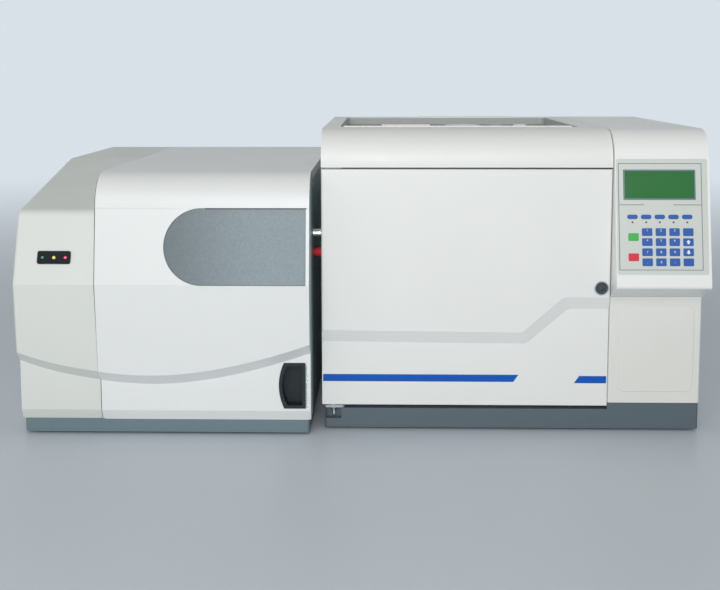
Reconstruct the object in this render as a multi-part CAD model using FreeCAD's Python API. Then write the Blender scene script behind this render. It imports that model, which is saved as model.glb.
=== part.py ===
import FreeCAD, Part
import math
import os

# Benchtop gas chromatograph (right unit) coupled to a mass spectrometer (left unit).
# Millimetres. +X right, -Y front, +Z up, origin under the middle of the pair on the table.

# Overall places of the two units
ms_left = -530.0
ms_right = -78.0
gc_left = -62.0
gc_right = 530.0
foot_height = 4.0
foot_radius = 16.0

# General clearances
seat_gap = 0.3
seam_gap = 1.0
running_fit = 0.06
cover_wall = 3.0
sheet = 1.5

# Mass spectrometer covers
ms_top = 411.0
ms_base_top = 25.0
ms_base_inset = 3.0
base_corner = 4.0
ms_base_front = -276.0
ms_cover_back = 298.0
ms_back_plane = 290.0
foreline_stub = 20.0
cover_seam = -404.0
seam_step = 2.0
crease_y = -310.0
crease_z = 244.0
nose_lean = 0.148
nose_radius = 52.0
crease_radius = 4.0
cover_edge_radius = 5.0
lower_lean = 0.065
left_shoulder_y = -270.0
left_shoulder_z = 352.0
left_shoulder_radius = 14.0
left_slope_end_y = 10.0
left_top_radius = 60.0
swoosh_depth = 17.0
swoosh_rise = 18.0
swoosh_left_z = 138.0
swoosh_shoulder_x = -464.0
swoosh_shoulder_z = 117.5
swoosh_seam_z = 107.0
swoosh_low_x = -330.0
swoosh_low_z = 101.0
swoosh_climb_x = -200.0
swoosh_climb_z = 115.5
swoosh_right_z = 151.0
bottom_chamfer = 16.0
bottom_chamfer_back = 7.0
side_return = 88.0

# D-shaped access panel and hand pull on the front cover
panel_right = -84.0
panel_left = -298.0
panel_low_z = 244.0
panel_high_z = 358.0
panel_gap = 1.0
panel_sheet = 2.0
groove_depth = 0.9
pull_left = -127.0
pull_right = -86.0
pull_low_z = 45.0
pull_high_z = 117.0
pull_bulge = 8.0
pull_depth = 22.0
pull_rim = 5.0

# Indicator lamps on the left cover
bezel_centre_x = -468.0
bezel_centre_z = 283.0
bezel_width = 51.0
bezel_height = 20.0
bezel_proud = 2.0
lamp_radius = 3.0
lamp_pitch = 17.5

# Vacuum system
chamber_left = -360.0
chamber_right = -120.0
chamber_front = -255.0
chamber_back = -105.0
chamber_low = 236.0
chamber_high = 376.0
chamber_wall = 14.0
stand_sheet = 6.0
beam_y = -190.0
beam_z = 306.0
source_radius = 17.0
source_length = 34.0
rod_radius = 6.0
rod_circle = 13.0
rod_length = 112.0
collar_radius = 27.0
collar_length = 12.0
multiplier_length = 40.0
pump_x = -240.0
pump_y = -180.0
pump_radius = 48.0
pump_bore = 42.0
pump_low = 96.0
outlet_reach = 82.0
pump_flange_radius = 62.0
pump_flange = 10.0
rotor_radius = 40.0
rotor_hub = 16.0
rotor_stages = 3
rotor_blades = 7
line_radius = 6.5
line_flange_radius = 15.0
sleeve_radius = 8.0
sleeve_z = 275.0
line_hole_gap = 0.5

# Fan at the back of the mass spectrometer
fan_x = -300.0
fan_z = 215.0
fan_side = 92.0
fan_depth = 25.0
fan_bore = 42.0
fan_blade_tip = 40.5
fan_hub = 17.0
fan_blades = 7

# Gas chromatograph body
gc_top = 476.0
lid_skirt = 58.0
lid_gap = 2.5
lid_rest = 12.0
side_sink = 1.5
gc_base_left = -58.2
gc_base_front = -248.0
gc_base_top = 46.0
gc_step_top = 35.0
gc_back_plane = 226.0
gc_cover_back = 232.0
bay_left = 387.0
lower_front = -250.0
lid_bottom = gc_top - lid_skirt
lid_nose_radius = 50.0
deck_z = lid_bottom + lid_rest
deck_sheet = 2.0
recess_left = -36.0
recess_right = 350.0
recess_front = -165.0
recess_back = 202.0
lip_width = 4.0
lip_height = 2.0
lid_pivot_y = 235.0
lid_pivot_z = lid_bottom + 4.0
lid_hinge_x = (20.0, 300.0)
lid_pin_radius = 2.5
lid_knuckle = 5.0

# Oven door
door_right = 386.0
door_low = 41.0
door_high = lid_bottom - lid_gap
door_front = -258.0
door_back = -234.0
door_skin = 2.5
door_step = 9.0
door_edge_radius = 3.0
band_left_z = 163.0
band_right_z = 216.0
band_height = 20.0
band_bend_x = 251.0
band_rise_x = 314.0
band_foot_shift = 9.0
pin_x = -44.0
pin_y = -243.0
pin_radius = 3.0
pin_tail = 24.0
pin_head = 5.5
pin_notch = 12.0
pin_grip = 18.0
bracket_sheet = 4.0
upper_bracket_sheet = 1.8
tab_sheet = 1.8
lower_play = 1.2
upper_play = 0.4
bracket_half = 18.0
knuckle_half = 9.0
bracket_nose = 6.0
pan_left = -20.0
pan_right = 381.0
pan_margin = 4.0
pan_sheet = 3.0
plug_gap = 6.0
plug_depth = 19.0
button_x = 372.0
button_z = (door_low + door_high) / 2 + 2.75
button_radius = 9.4
button_proud = 5.0
button_travel = 4.0
ring_radius = 11.4
ring_proud = 3.0
stem_radius = 3.0

# Oven
mouth_left = 12.0
mouth_right = 312.0
mouth_low = 85.0
mouth_drop = 40.5
mouth_high = door_high - mouth_drop
mouth_radius = 10.0
frame_front = -228.0
frame_sheet = 4.0
hinge_pocket = 6.0
hinge_column = 37.0
oven_back = -25.0
insulation = 38.0
fan_axis_x = 162.0
fan_axis_z = (mouth_low + mouth_high) / 2
shroud_radius = (mouth_high - mouth_low) / 2 - 27.0
heater_radius = shroud_radius - 20.0
impeller_radius = heater_radius - 20.0
impeller_width = 24.0
impeller_blades = 10
blade_sweep = 18.0
shaft_radius = 5.0
shaft_depth = 12.0
shroud_sheet = 1.5
shroud_y = -68.0
heater_wire = 3.0
motor_radius = 45.0
motor_length = 76.0
cage_radius = 84.0
cage_wire = 1.6
ring_sides = 16
column_bundle = 5.0
column_y = -130.0
column_z = fan_axis_z + 5.0

# Rear air flaps of the oven
flap_width = 96.0
flap_height = 54.0
exhaust_z = mouth_high - 55.0
intake_z = mouth_low + 11.0
flap_pin = 1.6
flap_lap = 4.0

# Control panel
panel_edge_y = -298.0
panel_edge_z = gc_top - 238.0
panel_lean = 0.178
panel_nose_radius = 45.0
panel_under_y = -250.0
lower_top = panel_edge_z - 22.0
hood_back = -236.0
hood_skirt = gc_top - 40.0
film_left = 388.5
film_right = 526.0
film_low = 21.0
film_high = 197.0
film_thick = 0.5
display_left = 401.5
display_right = 505.5
display_low = 137.0
display_high = 178.0
display_border = 2.5
key_first_x = 436.0
key_first_s = 85.3
key_pitch_x = 20.7
key_pitch_s = 15.6
key_width = 15.7
key_height = 12.0
key_rise = 0.8
key_rows = 4
key_columns = 4
side_key_x = 415.5
run_key_s = 77.2
stop_key_s = 46.7
oval_s = 107.6
oval_width = 15.8
oval_height = 6.8
oval_count = 5
emboss_left = 401.0
emboss_right = 519.0
emboss_low = 64.0
emboss_high = lower_top - 13.0
emboss_rise = 1.2

# Parts on the deck under the lid opening
box_left = 31.0
box_right = 114.0
box_front = -90.0
box_back = 130.0
box_top = gc_top - 3.0
cap_x = 166.0
cap_y = -104.0
cap_radius = 33.0
cap_top = gc_top - 0.5
port_x = 262.0
port_y = -107.0
port_radius = 11.5
port_pitch = 40.0
port_top = gc_top - 2.0

# Rear electrical inlets
inlet_width = 48.0
inlet_height = 34.0
ms_inlet_x = -150.0
ms_inlet_z = 80.0
gc_inlet_x = 460.0
gc_inlet_z = 110.0
rocker_radius = 8.0
rocker_width = 10.8
rocker_tilt = 11.0
rocker_pivot = 1.5

# Electronics inside the housings
supply_x = -370.0
supply_y = 60.0
supply_width = 180.0
supply_deep = 140.0
supply_high = 70.0
ms_board_x = -500.0
ms_board_half = 190.0
gc_board_x = 400.0
gc_board_half = 170.0
board_drop = 111.0

# Rear gas and vacuum fittings
foreline_z = 112.0
foreline_radius = 12.0
foreline_bore = 8.0
foreline_end = ms_back_plane + foreline_stub
foreline_rim = 18.0
gas_x = (-20.0, 10.0, 40.0)
gas_z = deck_z - 40.0
gas_stem = 3.2


def vec(x, y, z):
    return FreeCAD.Vector(x, y, z)


def block(x0, x1, y0, y1, z0, z1):
    return Part.makeBox(x1 - x0, y1 - y0, z1 - z0, vec(x0, y0, z0))


def rod(x, y, z, length, radius, axis):
    return Part.makeCylinder(radius, length, vec(x, y, z), vec(*axis))


def rounded_wire(points, radii):
    """Closed wire through 3-D points, each corner turned by an arc of its own radius (0 keeps it sharp)."""
    edges = []
    starts = []
    ends = []
    arcs = []
    count = len(points)
    for i, corner in enumerate(points):
        before = points[i - 1]
        after = points[(i + 1) % count]
        into = (before - corner).normalize()
        out = (after - corner).normalize()
        radius = radii[i]
        if radius == 0:
            starts.append(corner)
            ends.append(corner)
            arcs.append(None)
            continue
        half = into.getAngle(out) / 2
        back = radius / math.tan(half)
        middle = (into + out).normalize()
        centre = corner + middle * (radius / math.sin(half))
        starts.append(corner + into * back)
        ends.append(corner + out * back)
        arcs.append(Part.Arc(starts[i], centre - middle * radius, ends[i]))
    for i in range(count):
        if arcs[i] is not None:
            edges.append(arcs[i].toShape())
        start = ends[i]
        finish = starts[(i + 1) % count]
        if (finish - start).Length > 1e-6:
            edges.append(Part.LineSegment(start, finish).toShape())
    return Part.Wire(edges)


def prism_x(profile, radii, x0, x1):
    """Solid from a (y, z) outline extruded along X."""
    wire = rounded_wire([vec(x0, y, z) for y, z in profile], radii)
    return Part.Face(wire).extrude(vec(x1 - x0, 0, 0))


def plate_y(outline, radii, y0, y1):
    """Solid from an (x, z) outline extruded along Y."""
    wire = rounded_wire([vec(x, y0, z) for x, z in outline], radii)
    return Part.Face(wire).extrude(vec(0, y1 - y0, 0))


def plate_z(outline, radii, z0, z1):
    """Solid from an (x, y) outline extruded along Z."""
    wire = rounded_wire([vec(x, y, z0) for x, y in outline], radii)
    return Part.Face(wire).extrude(vec(0, 0, z1 - z0))


def rectangle(left, right, low, high):
    return [(left, low), (right, low), (right, high), (left, high)]


def round_edges(shape, radius, wanted):
    edges = [edge for edge in shape.Edges if wanted(edge)]
    return shape.makeFillet(radius, edges)


def turn_about(shape, angle, base, axis):
    copy = shape.copy()
    copy.rotate(vec(*base), vec(*axis), angle)
    return copy


def bevel_edges(shape, size, wanted):
    edges = [edge for edge in shape.Edges if wanted(edge)]
    return shape.makeChamfer(size, edges)


def flat_ring(radius, distance, sides):
    turns = [2 * math.pi * i / sides for i in range(sides)]
    return [vec(radius * math.cos(turn), radius * math.sin(turn), distance) for turn in turns]


def turned(x, y, z, stations, axis, sides=16):
    """Turned form with flats, through (distance, radius) stations along an axis."""
    rings = [flat_ring(radius, distance, sides) for distance, radius in stations]
    faces = [Part.Face(Part.makePolygon(ring + ring[:1])) for ring in (rings[0], rings[-1])]
    for low, high in zip(rings, rings[1:]):
        for i in range(sides):
            after = (i + 1) % sides
            faces.append(Part.Face(Part.makePolygon([low[i], low[after], high[after], high[i], low[i]])))
    solid = Part.Solid(Part.Shell(faces))
    solid.Placement = FreeCAD.Placement(vec(x, y, z), FreeCAD.Rotation(vec(0, 0, 1), vec(*axis)))
    return solid


def bar(x, y, z, length, radius, axis, sides=6):
    """Straight bar with flat sides along an axis; more sides make it nearly round."""
    return turned(x, y, z, [(0.0, radius), (length, radius)], axis, sides)


def bore(x, y, z, length, radius, axis, sides=12):
    """Hole whose flats lie at the given radius, so a round pin of that radius just passes."""
    return bar(x, y, z, length, radius / math.cos(math.pi / sides), axis, sides)


def wire_ring(major, minor, x, y, z):
    """Ring of square wire round an axis along Y, bent in short straight lengths."""
    sides = ring_sides
    outer = bar(x, y - minor, z, 2 * minor, major + minor, (0, 1, 0), sides)
    return outer.cut(bar(x, y - 2 * minor, z, 4 * minor, major - minor, (0, 1, 0), sides))


def slot_row(x0, x1, z, height, pitch, count, y0, y1):
    """Row of straight vent slots through a sheet that faces Y."""
    return [block(x0, x1, y0, y1, z + i * pitch, z + i * pitch + height) for i in range(count)]


def ring_of(shape, count, base, axis):
    return [turn_about(shape, i * 360.0 / count, base, axis) for i in range(count)]


def join(shapes):
    first = shapes[0]
    if len(shapes) == 1:
        return first
    return first.multiFuse(shapes[1:]).removeSplitter()


def cut_all(shape, tools):
    return shape.cut(tools[0].multiFuse(tools[1:]) if len(tools) > 1 else tools[0])


def save(name, shape):
    shape.exportStep("parts/" + name + ".step")


# Front shapes of the mass spectrometer covers

def swoosh_wire(y, rise, drop):
    """Region under the curved step line, in the plane at y, drop lower than the upper line."""
    low = ms_base_top - 20.0
    line = [
        vec(ms_left - 5.0, y, swoosh_left_z + 1.5),
        vec(swoosh_shoulder_x, y, swoosh_shoulder_z),
        vec(cover_seam, y, swoosh_seam_z),
        vec(swoosh_low_x, y, swoosh_low_z),
        vec(swoosh_climb_x, y, swoosh_climb_z),
        vec(ms_right + 5.0, y, swoosh_right_z + 1.5),
    ]
    line = [p + vec(0, 0, rise - drop) for p in line]
    curve = Part.BSplineCurve()
    curve.interpolate(line)
    left_foot = vec(line[0].x, y, low)
    right_foot = vec(line[-1].x, y, low)
    edges = [
        curve.toShape(),
        Part.LineSegment(line[-1], right_foot).toShape(),
        Part.LineSegment(right_foot, left_foot).toShape(),
        Part.LineSegment(left_foot, line[0]).toShape(),
    ]
    return Part.Wire(edges)


def swoosh_cutter(shift_y, rise):
    """Removes the front below the curved step line and leaves a slanted facet at the line."""
    ahead = 40.0
    face_y = crease_y + (crease_z - swoosh_low_z) * lower_lean + shift_y
    upper = swoosh_wire(face_y, rise, 0.0)
    lower = swoosh_wire(face_y + swoosh_depth, rise, swoosh_rise)
    facet = Part.makeLoft([upper, lower], True, True)
    front = Part.Face(swoosh_wire(face_y - ahead, rise, 0.0)).extrude(vec(0, ahead, 0))
    return facet.fuse(front)


def front_outline(inset, back, shoulder):
    """Side outline (y, z) of a front cover; shoulder gives the left cover's sloping top."""
    top = ms_top - inset
    foot = ms_base_top + seat_gap - (30.0 if inset else 0.0)
    crease = crease_y + inset + (seam_step if shoulder else 0.0)
    foot_y = crease + (crease_z - foot) * lower_lean
    if shoulder:
        points = [
            (back, foot), (back, top), (left_slope_end_y, top),
            (left_shoulder_y + inset, left_shoulder_z - inset), (crease, crease_z), (foot_y, foot),
        ]
        radii = [0, 0, left_top_radius, left_shoulder_radius, crease_radius, 0]
    else:
        nose = crease + (top - crease_z) * nose_lean
        points = [(back, foot), (back, top), (nose, top), (crease, crease_z), (foot_y, foot)]
        radii = [0, 0, nose_radius - inset, crease_radius, 0]
    return points, radii


def cover_solid(inset, back, shoulder, x0, x1, side_radius=0.0):
    """Cover form with its step line cut in; side_radius rounds the left edges."""
    points, radii = front_outline(inset, back, shoulder)
    solid = prism_x(points, radii, x0, x1)
    if side_radius > 0:
        solid = round_edges(solid, side_radius,
                            lambda e: e.BoundBox.XMax < x0 + 0.01 and not at_back(e, back))
    shift = inset + (seam_step if shoulder else 0.0)
    solid = solid.cut(swoosh_cutter(shift, inset))
    return solid


def at_back(edge, back):
    """True for the edges at the back and at the foot of a cover's end face."""
    box = edge.BoundBox
    return box.YMin > back - 0.1 or box.ZMax < ms_base_top + 5.0


def lower_face_y():
    return crease_y + (crease_z - swoosh_low_z) * lower_lean + swoosh_depth


def chamfer_cutter(shift):
    face = lower_face_y() + shift
    low = ms_base_top - 10.0
    points = [
        (face - 30.0, low), (face + bottom_chamfer_back, low),
        (face + bottom_chamfer_back, ms_base_top), (face, ms_base_top + bottom_chamfer),
        (face - 30.0, ms_base_top + bottom_chamfer),
    ]
    return prism_x(points, [0] * 5, ms_left - 10.0, ms_right + 10.0)


def access_outline(grow):
    """D-shaped outline: half round at the left, straight at the right."""
    low = panel_low_z - grow
    high = panel_high_z + grow
    radius = (high - low) / 2 - 0.01
    return [(panel_left - grow, low), (panel_right + grow, low), (panel_right + grow, high),
            (panel_left - grow, high)], [radius, 1.0, 1.0, radius]


def pull_face(grow, y):
    """Outline of the hand pull with its bowed left edge, in the plane at y."""
    low = vec(pull_left + pull_bulge - grow, y, pull_low_z - grow)
    high = vec(pull_left + pull_bulge - grow, y, pull_high_z + grow)
    bow = vec(pull_left - grow, y, (pull_low_z + pull_high_z) / 2)
    right_low = vec(pull_right + grow, y, pull_low_z - grow)
    right_high = vec(pull_right + grow, y, pull_high_z + grow)
    edges = [
        Part.Arc(low, bow, high).toShape(),
        Part.LineSegment(high, right_high).toShape(),
        Part.LineSegment(right_high, right_low).toShape(),
        Part.LineSegment(right_low, low).toShape(),
    ]
    return Part.Face(Part.Wire(edges))


# Mass spectrometer pieces

def ms_base():
    """Steel plinth with rounded front edges under the covers."""
    solid = block(ms_left + ms_base_inset, ms_right - ms_base_inset, ms_base_front, ms_back_plane,
                  foot_height, ms_base_top)
    return round_edges(solid, base_corner, lambda e: e.BoundBox.ZLength > 10 and e.BoundBox.YMax < 0)


def left_cover():
    """Moulded cover of the electronics side: front, outer side and sloping top."""
    right = cover_seam - seam_gap / 2
    outer = cover_solid(0.0, ms_cover_back, True, ms_left, right, cover_edge_radius)
    outer = outer.cut(chamfer_cutter(seam_step))
    room = cover_solid(cover_wall, ms_cover_back + 10.0, True, ms_left + cover_wall, right - cover_wall)
    flange_hole = cover_solid(cover_wall + 12.0, ms_cover_back + 10.0, True, right - 2 * cover_wall, right + 5.0)
    shell = outer.cut(room).cut(flange_hole)
    wells = [
        plate_y(rectangle(bezel_centre_x - bezel_width / 2 + 3, bezel_centre_x + bezel_width / 2 - 3,
                          bezel_centre_z - bezel_height / 2 + 3, bezel_centre_z + bezel_height / 2 - 3),
                [2.0] * 4, crease_y - 5.0, crease_y + 45.0),
    ]
    wells.append(seam_notch(right - cover_wall - 1.0, right + 1.0))
    return cut_all(shell, wells)


def seam_notch(x0, x1):
    """Clears a cover's seam wall where the back sheet passes it."""
    return block(x0, x1, ms_back_plane - seat_gap, ms_cover_back + 1.0, 0.0, ms_top - cover_wall)


def main_cover():
    """Moulded front and top cover with a rounded nose, a D-shaped opening and a notch for the hand pull."""
    left = cover_seam + seam_gap / 2
    outer = cover_solid(0.0, ms_cover_back, False, left, ms_right)
    outer = outer.cut(chamfer_cutter(0.0))
    room = cover_solid(cover_wall, ms_cover_back + 10.0, False, left + cover_wall, ms_right - cover_wall)
    shell = outer.cut(room)
    side_window = block(ms_right - 2 * cover_wall, ms_right + 5.0, crease_y + side_return,
                        ms_cover_back + 5.0, 0.0, ms_top - 14.0)
    outline, radii = access_outline(panel_gap)
    window = plate_y(outline, radii, crease_y - 10.0, crease_y + 45.0)
    notch = pull_face(seat_gap, crease_y - 10.0).extrude(vec(0, 60.0, 0))
    line_y = crease_y + (panel_high_z - crease_z) * nose_lean
    groove = block(left - 1.0, ms_right + 1.0, line_y - 10.0, line_y + groove_depth, panel_high_z,
                   panel_high_z + panel_gap)
    return cut_all(shell, [side_window, window, notch, groove, seam_notch(left - 1.0, left + cover_wall + 1.0)])


def access_panel():
    """Speckled steel panel that fills the D-shaped opening, leaning with the band."""
    outline, radii = access_outline(0.0)
    form = plate_y(outline, radii, crease_y - 10.0, crease_y + 60.0)
    back = 3 * cover_wall
    sunk = 1.6
    skin = cover_solid(sunk, ms_cover_back, False, cover_seam, ms_right)
    core = cover_solid(sunk + panel_sheet, ms_cover_back + 20.0, False, cover_seam - 5.0, ms_right + 5.0)
    sheet_part = form.common(skin.cut(core))
    lip_outline, lip_radii = access_outline(8.0)
    lip_form = plate_y(lip_outline, lip_radii, crease_y - 10.0, crease_y + 60.0)
    lip_skin = cover_solid(cover_wall + seat_gap, ms_cover_back, False, cover_seam, ms_right)
    lip_core = cover_solid(back - 2.0, ms_cover_back + 20.0, False, cover_seam - 5.0, ms_right + 5.0)
    lip = lip_form.common(lip_skin.cut(lip_core))
    lip = lip.common(block(cover_seam + 2 * cover_wall, ms_right - cover_wall - seat_gap, crease_y - 50.0, 0.0,
                           0.0, ms_top))
    inner = form.common(cover_solid(sunk, ms_cover_back, False, cover_seam, ms_right).cut(lip_core))
    return sheet_part.fuse(lip).fuse(inner).removeSplitter()


def hand_pull():
    """Black moulded pull cup set in the cover's right edge, with a finger recess and clip slots."""
    front = lower_face_y() - 1.0
    cup = pull_face(0.0, front).extrude(vec(0, pull_depth, 0))
    hollow = pull_face(-pull_rim, front - 5.0).extrude(vec(0, pull_depth + 5.0 - 3.0, 0))
    flange = pull_face(3.0, lower_face_y() + cover_wall + seat_gap).extrude(vec(0, 2.0, 0))
    flange = flange.common(block(ms_left, ms_right - cover_wall - seat_gap, -400.0, 0.0, pull_low_z - 3.0, 200.0))
    return cup.fuse(flange).removeSplitter().cut(hollow)


def bezel_tilt():
    """Lean of the left cover's upper front, in degrees from upright."""
    return math.degrees(math.atan2(left_shoulder_y - crease_y - seam_step, left_shoulder_z - crease_z))


def bezel_seat_y():
    ratio = (bezel_centre_z - crease_z) / (left_shoulder_z - crease_z)
    return crease_y + seam_step + ratio * (left_shoulder_y - crease_y - seam_step)


def on_left_front(shape):
    """Place a piece made upright at y = 0 about z = 0 on the left cover's leaning front."""
    copy = shape.copy()
    copy.rotate(vec(0, 0, 0), vec(1, 0, 0), -bezel_tilt())
    copy.translate(vec(bezel_centre_x, bezel_seat_y(), bezel_centre_z))
    return copy


def indicator_bezel():
    """Black lens frame with three round lamp holes and a body behind the cover."""
    half_w = bezel_width / 2
    half_h = bezel_height / 2
    plate = plate_y(rectangle(-half_w, half_w, -half_h, half_h), [3.0] * 4, -bezel_proud, 0.0)
    body = block(-half_w + 6.0, half_w - 6.0, 0.0, 12.0, -half_h + 6.0, half_h - 6.0)
    solid = plate.fuse(body)
    holes = [bar(i * lamp_pitch, -5.0, 0, 11.0, lamp_radius + seat_gap, (0, 1, 0), 12) for i in (-1, 0, 1)]
    return on_left_front(cut_all(solid, holes))


def indicator_lamps():
    """Three domed lamps: ready, fault and power, in the bezel."""
    lamps = []
    for i in (-1, 0, 1):
        lamps.append(on_left_front(turned(i * lamp_pitch, -bezel_proud - 1.2, 0, [
            (0.0, lamp_radius - 1.2), (1.2, lamp_radius), (bezel_proud + 6.9, lamp_radius)], (0, 1, 0), 12)))
    return Part.makeCompound(lamps)


def ms_side_panel():
    """Dark steel panel on the side next to the oven, with a hole for the transfer line."""
    front = crease_y + side_return + seam_gap
    outline = rectangle(front, ms_back_plane, ms_base_top + seat_gap, ms_top - 15.0)
    wire = rounded_wire([vec(ms_right - 0.5 - sheet, y, z) for y, z in outline], [0] * 4)
    plate = Part.Face(wire).extrude(vec(sheet, 0, 0))
    tools = [
        bore(ms_right - 10, beam_y, beam_z, 20.0, line_radius + line_hole_gap, (1, 0, 0)),
        bore(ms_right - 10, beam_y, sleeve_z, 20.0, sleeve_radius + line_hole_gap, (1, 0, 0)),
    ]
    for i in range(6):
        y = 60.0 + i * 33.0
        tools.append(block(ms_right - 10, ms_right + 5, y, y + 8.0, 300.0, 360.0))
    return cut_all(plate, tools)


def ms_back_panel():
    """Folded back sheet with the fan opening, guard rings and inlet cut-out."""
    left = ms_left + cover_wall + seat_gap
    right = ms_right - cover_wall - seat_gap
    plate = block(left, right, ms_back_plane, ms_back_plane + sheet, ms_base_top + seat_gap,
                  ms_top - cover_wall - seat_gap)
    hole = bar(fan_x, ms_back_plane - 5, fan_z, 20.0, fan_bore, (0, 1, 0), 24)
    plate = plate.cut(hole)
    rings = []
    for radius in (17.0, 30.0):
        outer = bar(fan_x, ms_back_plane, fan_z, sheet, radius + 1.2, (0, 1, 0), 12)
        rings.append(outer.cut(bar(fan_x, ms_back_plane - 1, fan_z, sheet + 2, radius - 1.2, (0, 1, 0), 12)))
    strip = block(fan_x - fan_bore - 2, fan_x + fan_bore + 2, ms_back_plane, ms_back_plane + sheet,
                  fan_z - 1.5, fan_z + 1.5)
    bars = [turn_about(strip, angle, (fan_x, ms_back_plane, fan_z), (0, 1, 0)) for angle in (45.0, 135.0)]
    plate = join([plate] + rings + bars)
    tools = [inlet_cutter(ms_inlet_x, ms_inlet_z, ms_back_plane)]
    tools.append(bore(pump_x, ms_back_plane - 5, foreline_z, 20.0, foreline_radius + line_hole_gap, (0, 1, 0)))
    tools += slot_row(ms_left + 30.0, ms_left + 100.0, 120.0, 5.0, 20.0, 6, ms_back_plane - 5, ms_back_plane + 5)
    return cut_all(plate, tools)


def fan_frame():
    """Square fan body with a round duct, screwed inside the back sheet."""
    half = fan_side / 2
    y1 = ms_back_plane
    y0 = y1 - fan_depth
    frame = block(fan_x - half, fan_x + half, y0, y1, fan_z - half, fan_z + half)
    frame = frame.cut(bar(fan_x, y0 - 1, fan_z, fan_depth + 2, fan_bore, (0, 1, 0), 24))
    seat = bar(fan_x, y0, fan_z, 3.0, fan_hub, (0, 1, 0), 12)
    arm = block(fan_x - fan_bore - 1, fan_x + fan_bore + 1, y0, y0 + 3.0, fan_z - 2, fan_z + 2)
    arms = [turn_about(arm, angle, (fan_x, y0, fan_z), (0, 1, 0)) for angle in (0.0, 90.0)]
    pin = bar(fan_x, y0 + 3.0, fan_z, 12.0, 2.0, (0, 1, 0), 12)
    return join([frame, seat, pin] + arms)


def ms_fan():
    """Seven-blade rotor on the fan's centre pin."""
    y0 = ms_back_plane - fan_depth + 3.0 + seat_gap
    hub = bar(fan_x, y0, fan_z, fan_depth - 5.0 - 2 * seat_gap, fan_hub, (0, 1, 0), 14)
    hub = hub.cut(bore(fan_x, y0 - 1, fan_z, 14.0, 2.0 + running_fit, (0, 1, 0)))
    blade = block(fan_x + fan_hub - 3.0, fan_x + fan_blade_tip - 2.0, y0 + 8.0, y0 + 9.6,
                  fan_z - 11.0, fan_z + 11.0)
    blade = turn_about(blade, 34.0, (fan_x, y0 + 8.8, fan_z), (1, 0, 0))
    return join([hub] + ring_of(blade, fan_blades, (fan_x, y0, fan_z), (0, 1, 0)))


def vacuum_chamber():
    """Machined aluminium chamber with its welded stand, a pump port and a bore for the transfer line."""
    outer = block(chamber_left, chamber_right, chamber_front, chamber_back, chamber_low, chamber_high)
    w = chamber_wall
    room = block(chamber_left + w, chamber_right - w, chamber_front + w, chamber_back - w,
                 chamber_low + w, chamber_high - w)
    outer = outer.cut(room)
    tools = [
        bore(chamber_right - w - 1, beam_y, beam_z, w + 20, line_radius + running_fit, (1, 0, 0)),
        bar(pump_x, pump_y, chamber_low - 1, w + 2, pump_bore, (0, 0, 1), 12),
    ]
    outer = cut_all(outer, tools)
    lid_step = block(chamber_left + 6, chamber_right - 6, chamber_front + 6, chamber_back - 6,
                     chamber_high, chamber_high + 6.0)
    stands = []
    for x in (chamber_left + 4.0, chamber_right - 4.0 - stand_sheet):
        stands.append(block(x, x + stand_sheet, chamber_front + 20, chamber_back - 20, ms_base_top, chamber_low))
    return join([outer, lid_step] + stands)


def ion_source():
    """Stainless ion source block with its lens stack, clamped inside the chamber at the line's end."""
    right = chamber_right - chamber_wall - seat_gap
    left = right - source_length
    body = bar(left, beam_y, beam_z, source_length, source_radius, (1, 0, 0), 14)
    body = body.cut(bore(right - 14.0, beam_y, beam_z, 15.0, line_radius + running_fit, (1, 0, 0)))
    lens = [bar(left - 4.0 * i - 3.0, beam_y, beam_z, 1.5, source_radius - 1.0, (1, 0, 0), 12)
            for i in range(2)]
    spacers = [block(left - 8.0, left + 1.0, beam_y + dy - 1.5, beam_y + dy + 1.5, beam_z - 1.5, beam_z + 1.5)
               for dy in (11, -11)]
    foot = block(left + 4, right - 4, beam_y - 6, beam_y + 6, chamber_low + chamber_wall,
                 beam_z - source_radius + 2)
    return join([body, foot] + lens + spacers)


def quadrupole():
    """Four round rods held parallel by two ceramic collars on a saddle."""
    right = chamber_right - chamber_wall - source_length - 16.0
    left = right - rod_length
    parts = []
    for dy, dz in ((1, 1), (-1, 1), (1, -1), (-1, -1)):
        offset = rod_circle * 0.78
        parts.append(bar(left, beam_y + dy * offset, beam_z + dz * offset, rod_length, rod_radius,
                         (1, 0, 0), 8))
    for x in (left + 10.0, right - 10.0 - collar_length):
        collar = bar(x, beam_y, beam_z, collar_length, collar_radius, (1, 0, 0), 12)
        collar = collar.cut(bar(x - 1, beam_y, beam_z, collar_length + 2, 4.0, (1, 0, 0), 6))
        foot = block(x, x + collar_length, beam_y - 14, beam_y + 14, chamber_low + chamber_wall, beam_z - 20)
        parts.append(collar)
        parts.append(foot)
    return join(parts)


def ion_detector():
    """Horn-shaped electron multiplier behind the rods."""
    right = chamber_right - chamber_wall - source_length - 16.0 - rod_length - 6.0
    left = chamber_left + chamber_wall
    horn = turned(left + 8.0, beam_y, beam_z, [(0.0, 8.0), (right - left - 8.0, 18.0)], (1, 0, 0), 12)
    mouth = turned(right - 13.9, beam_y, beam_z, [(0.0, 2.0), (14.0, 15.0)], (1, 0, 0), 12)
    base = block(left, left + 8.0, beam_y - 20, beam_y + 20, beam_z - 20, beam_z + 20)
    return join([horn.cut(mouth), base])


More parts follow.
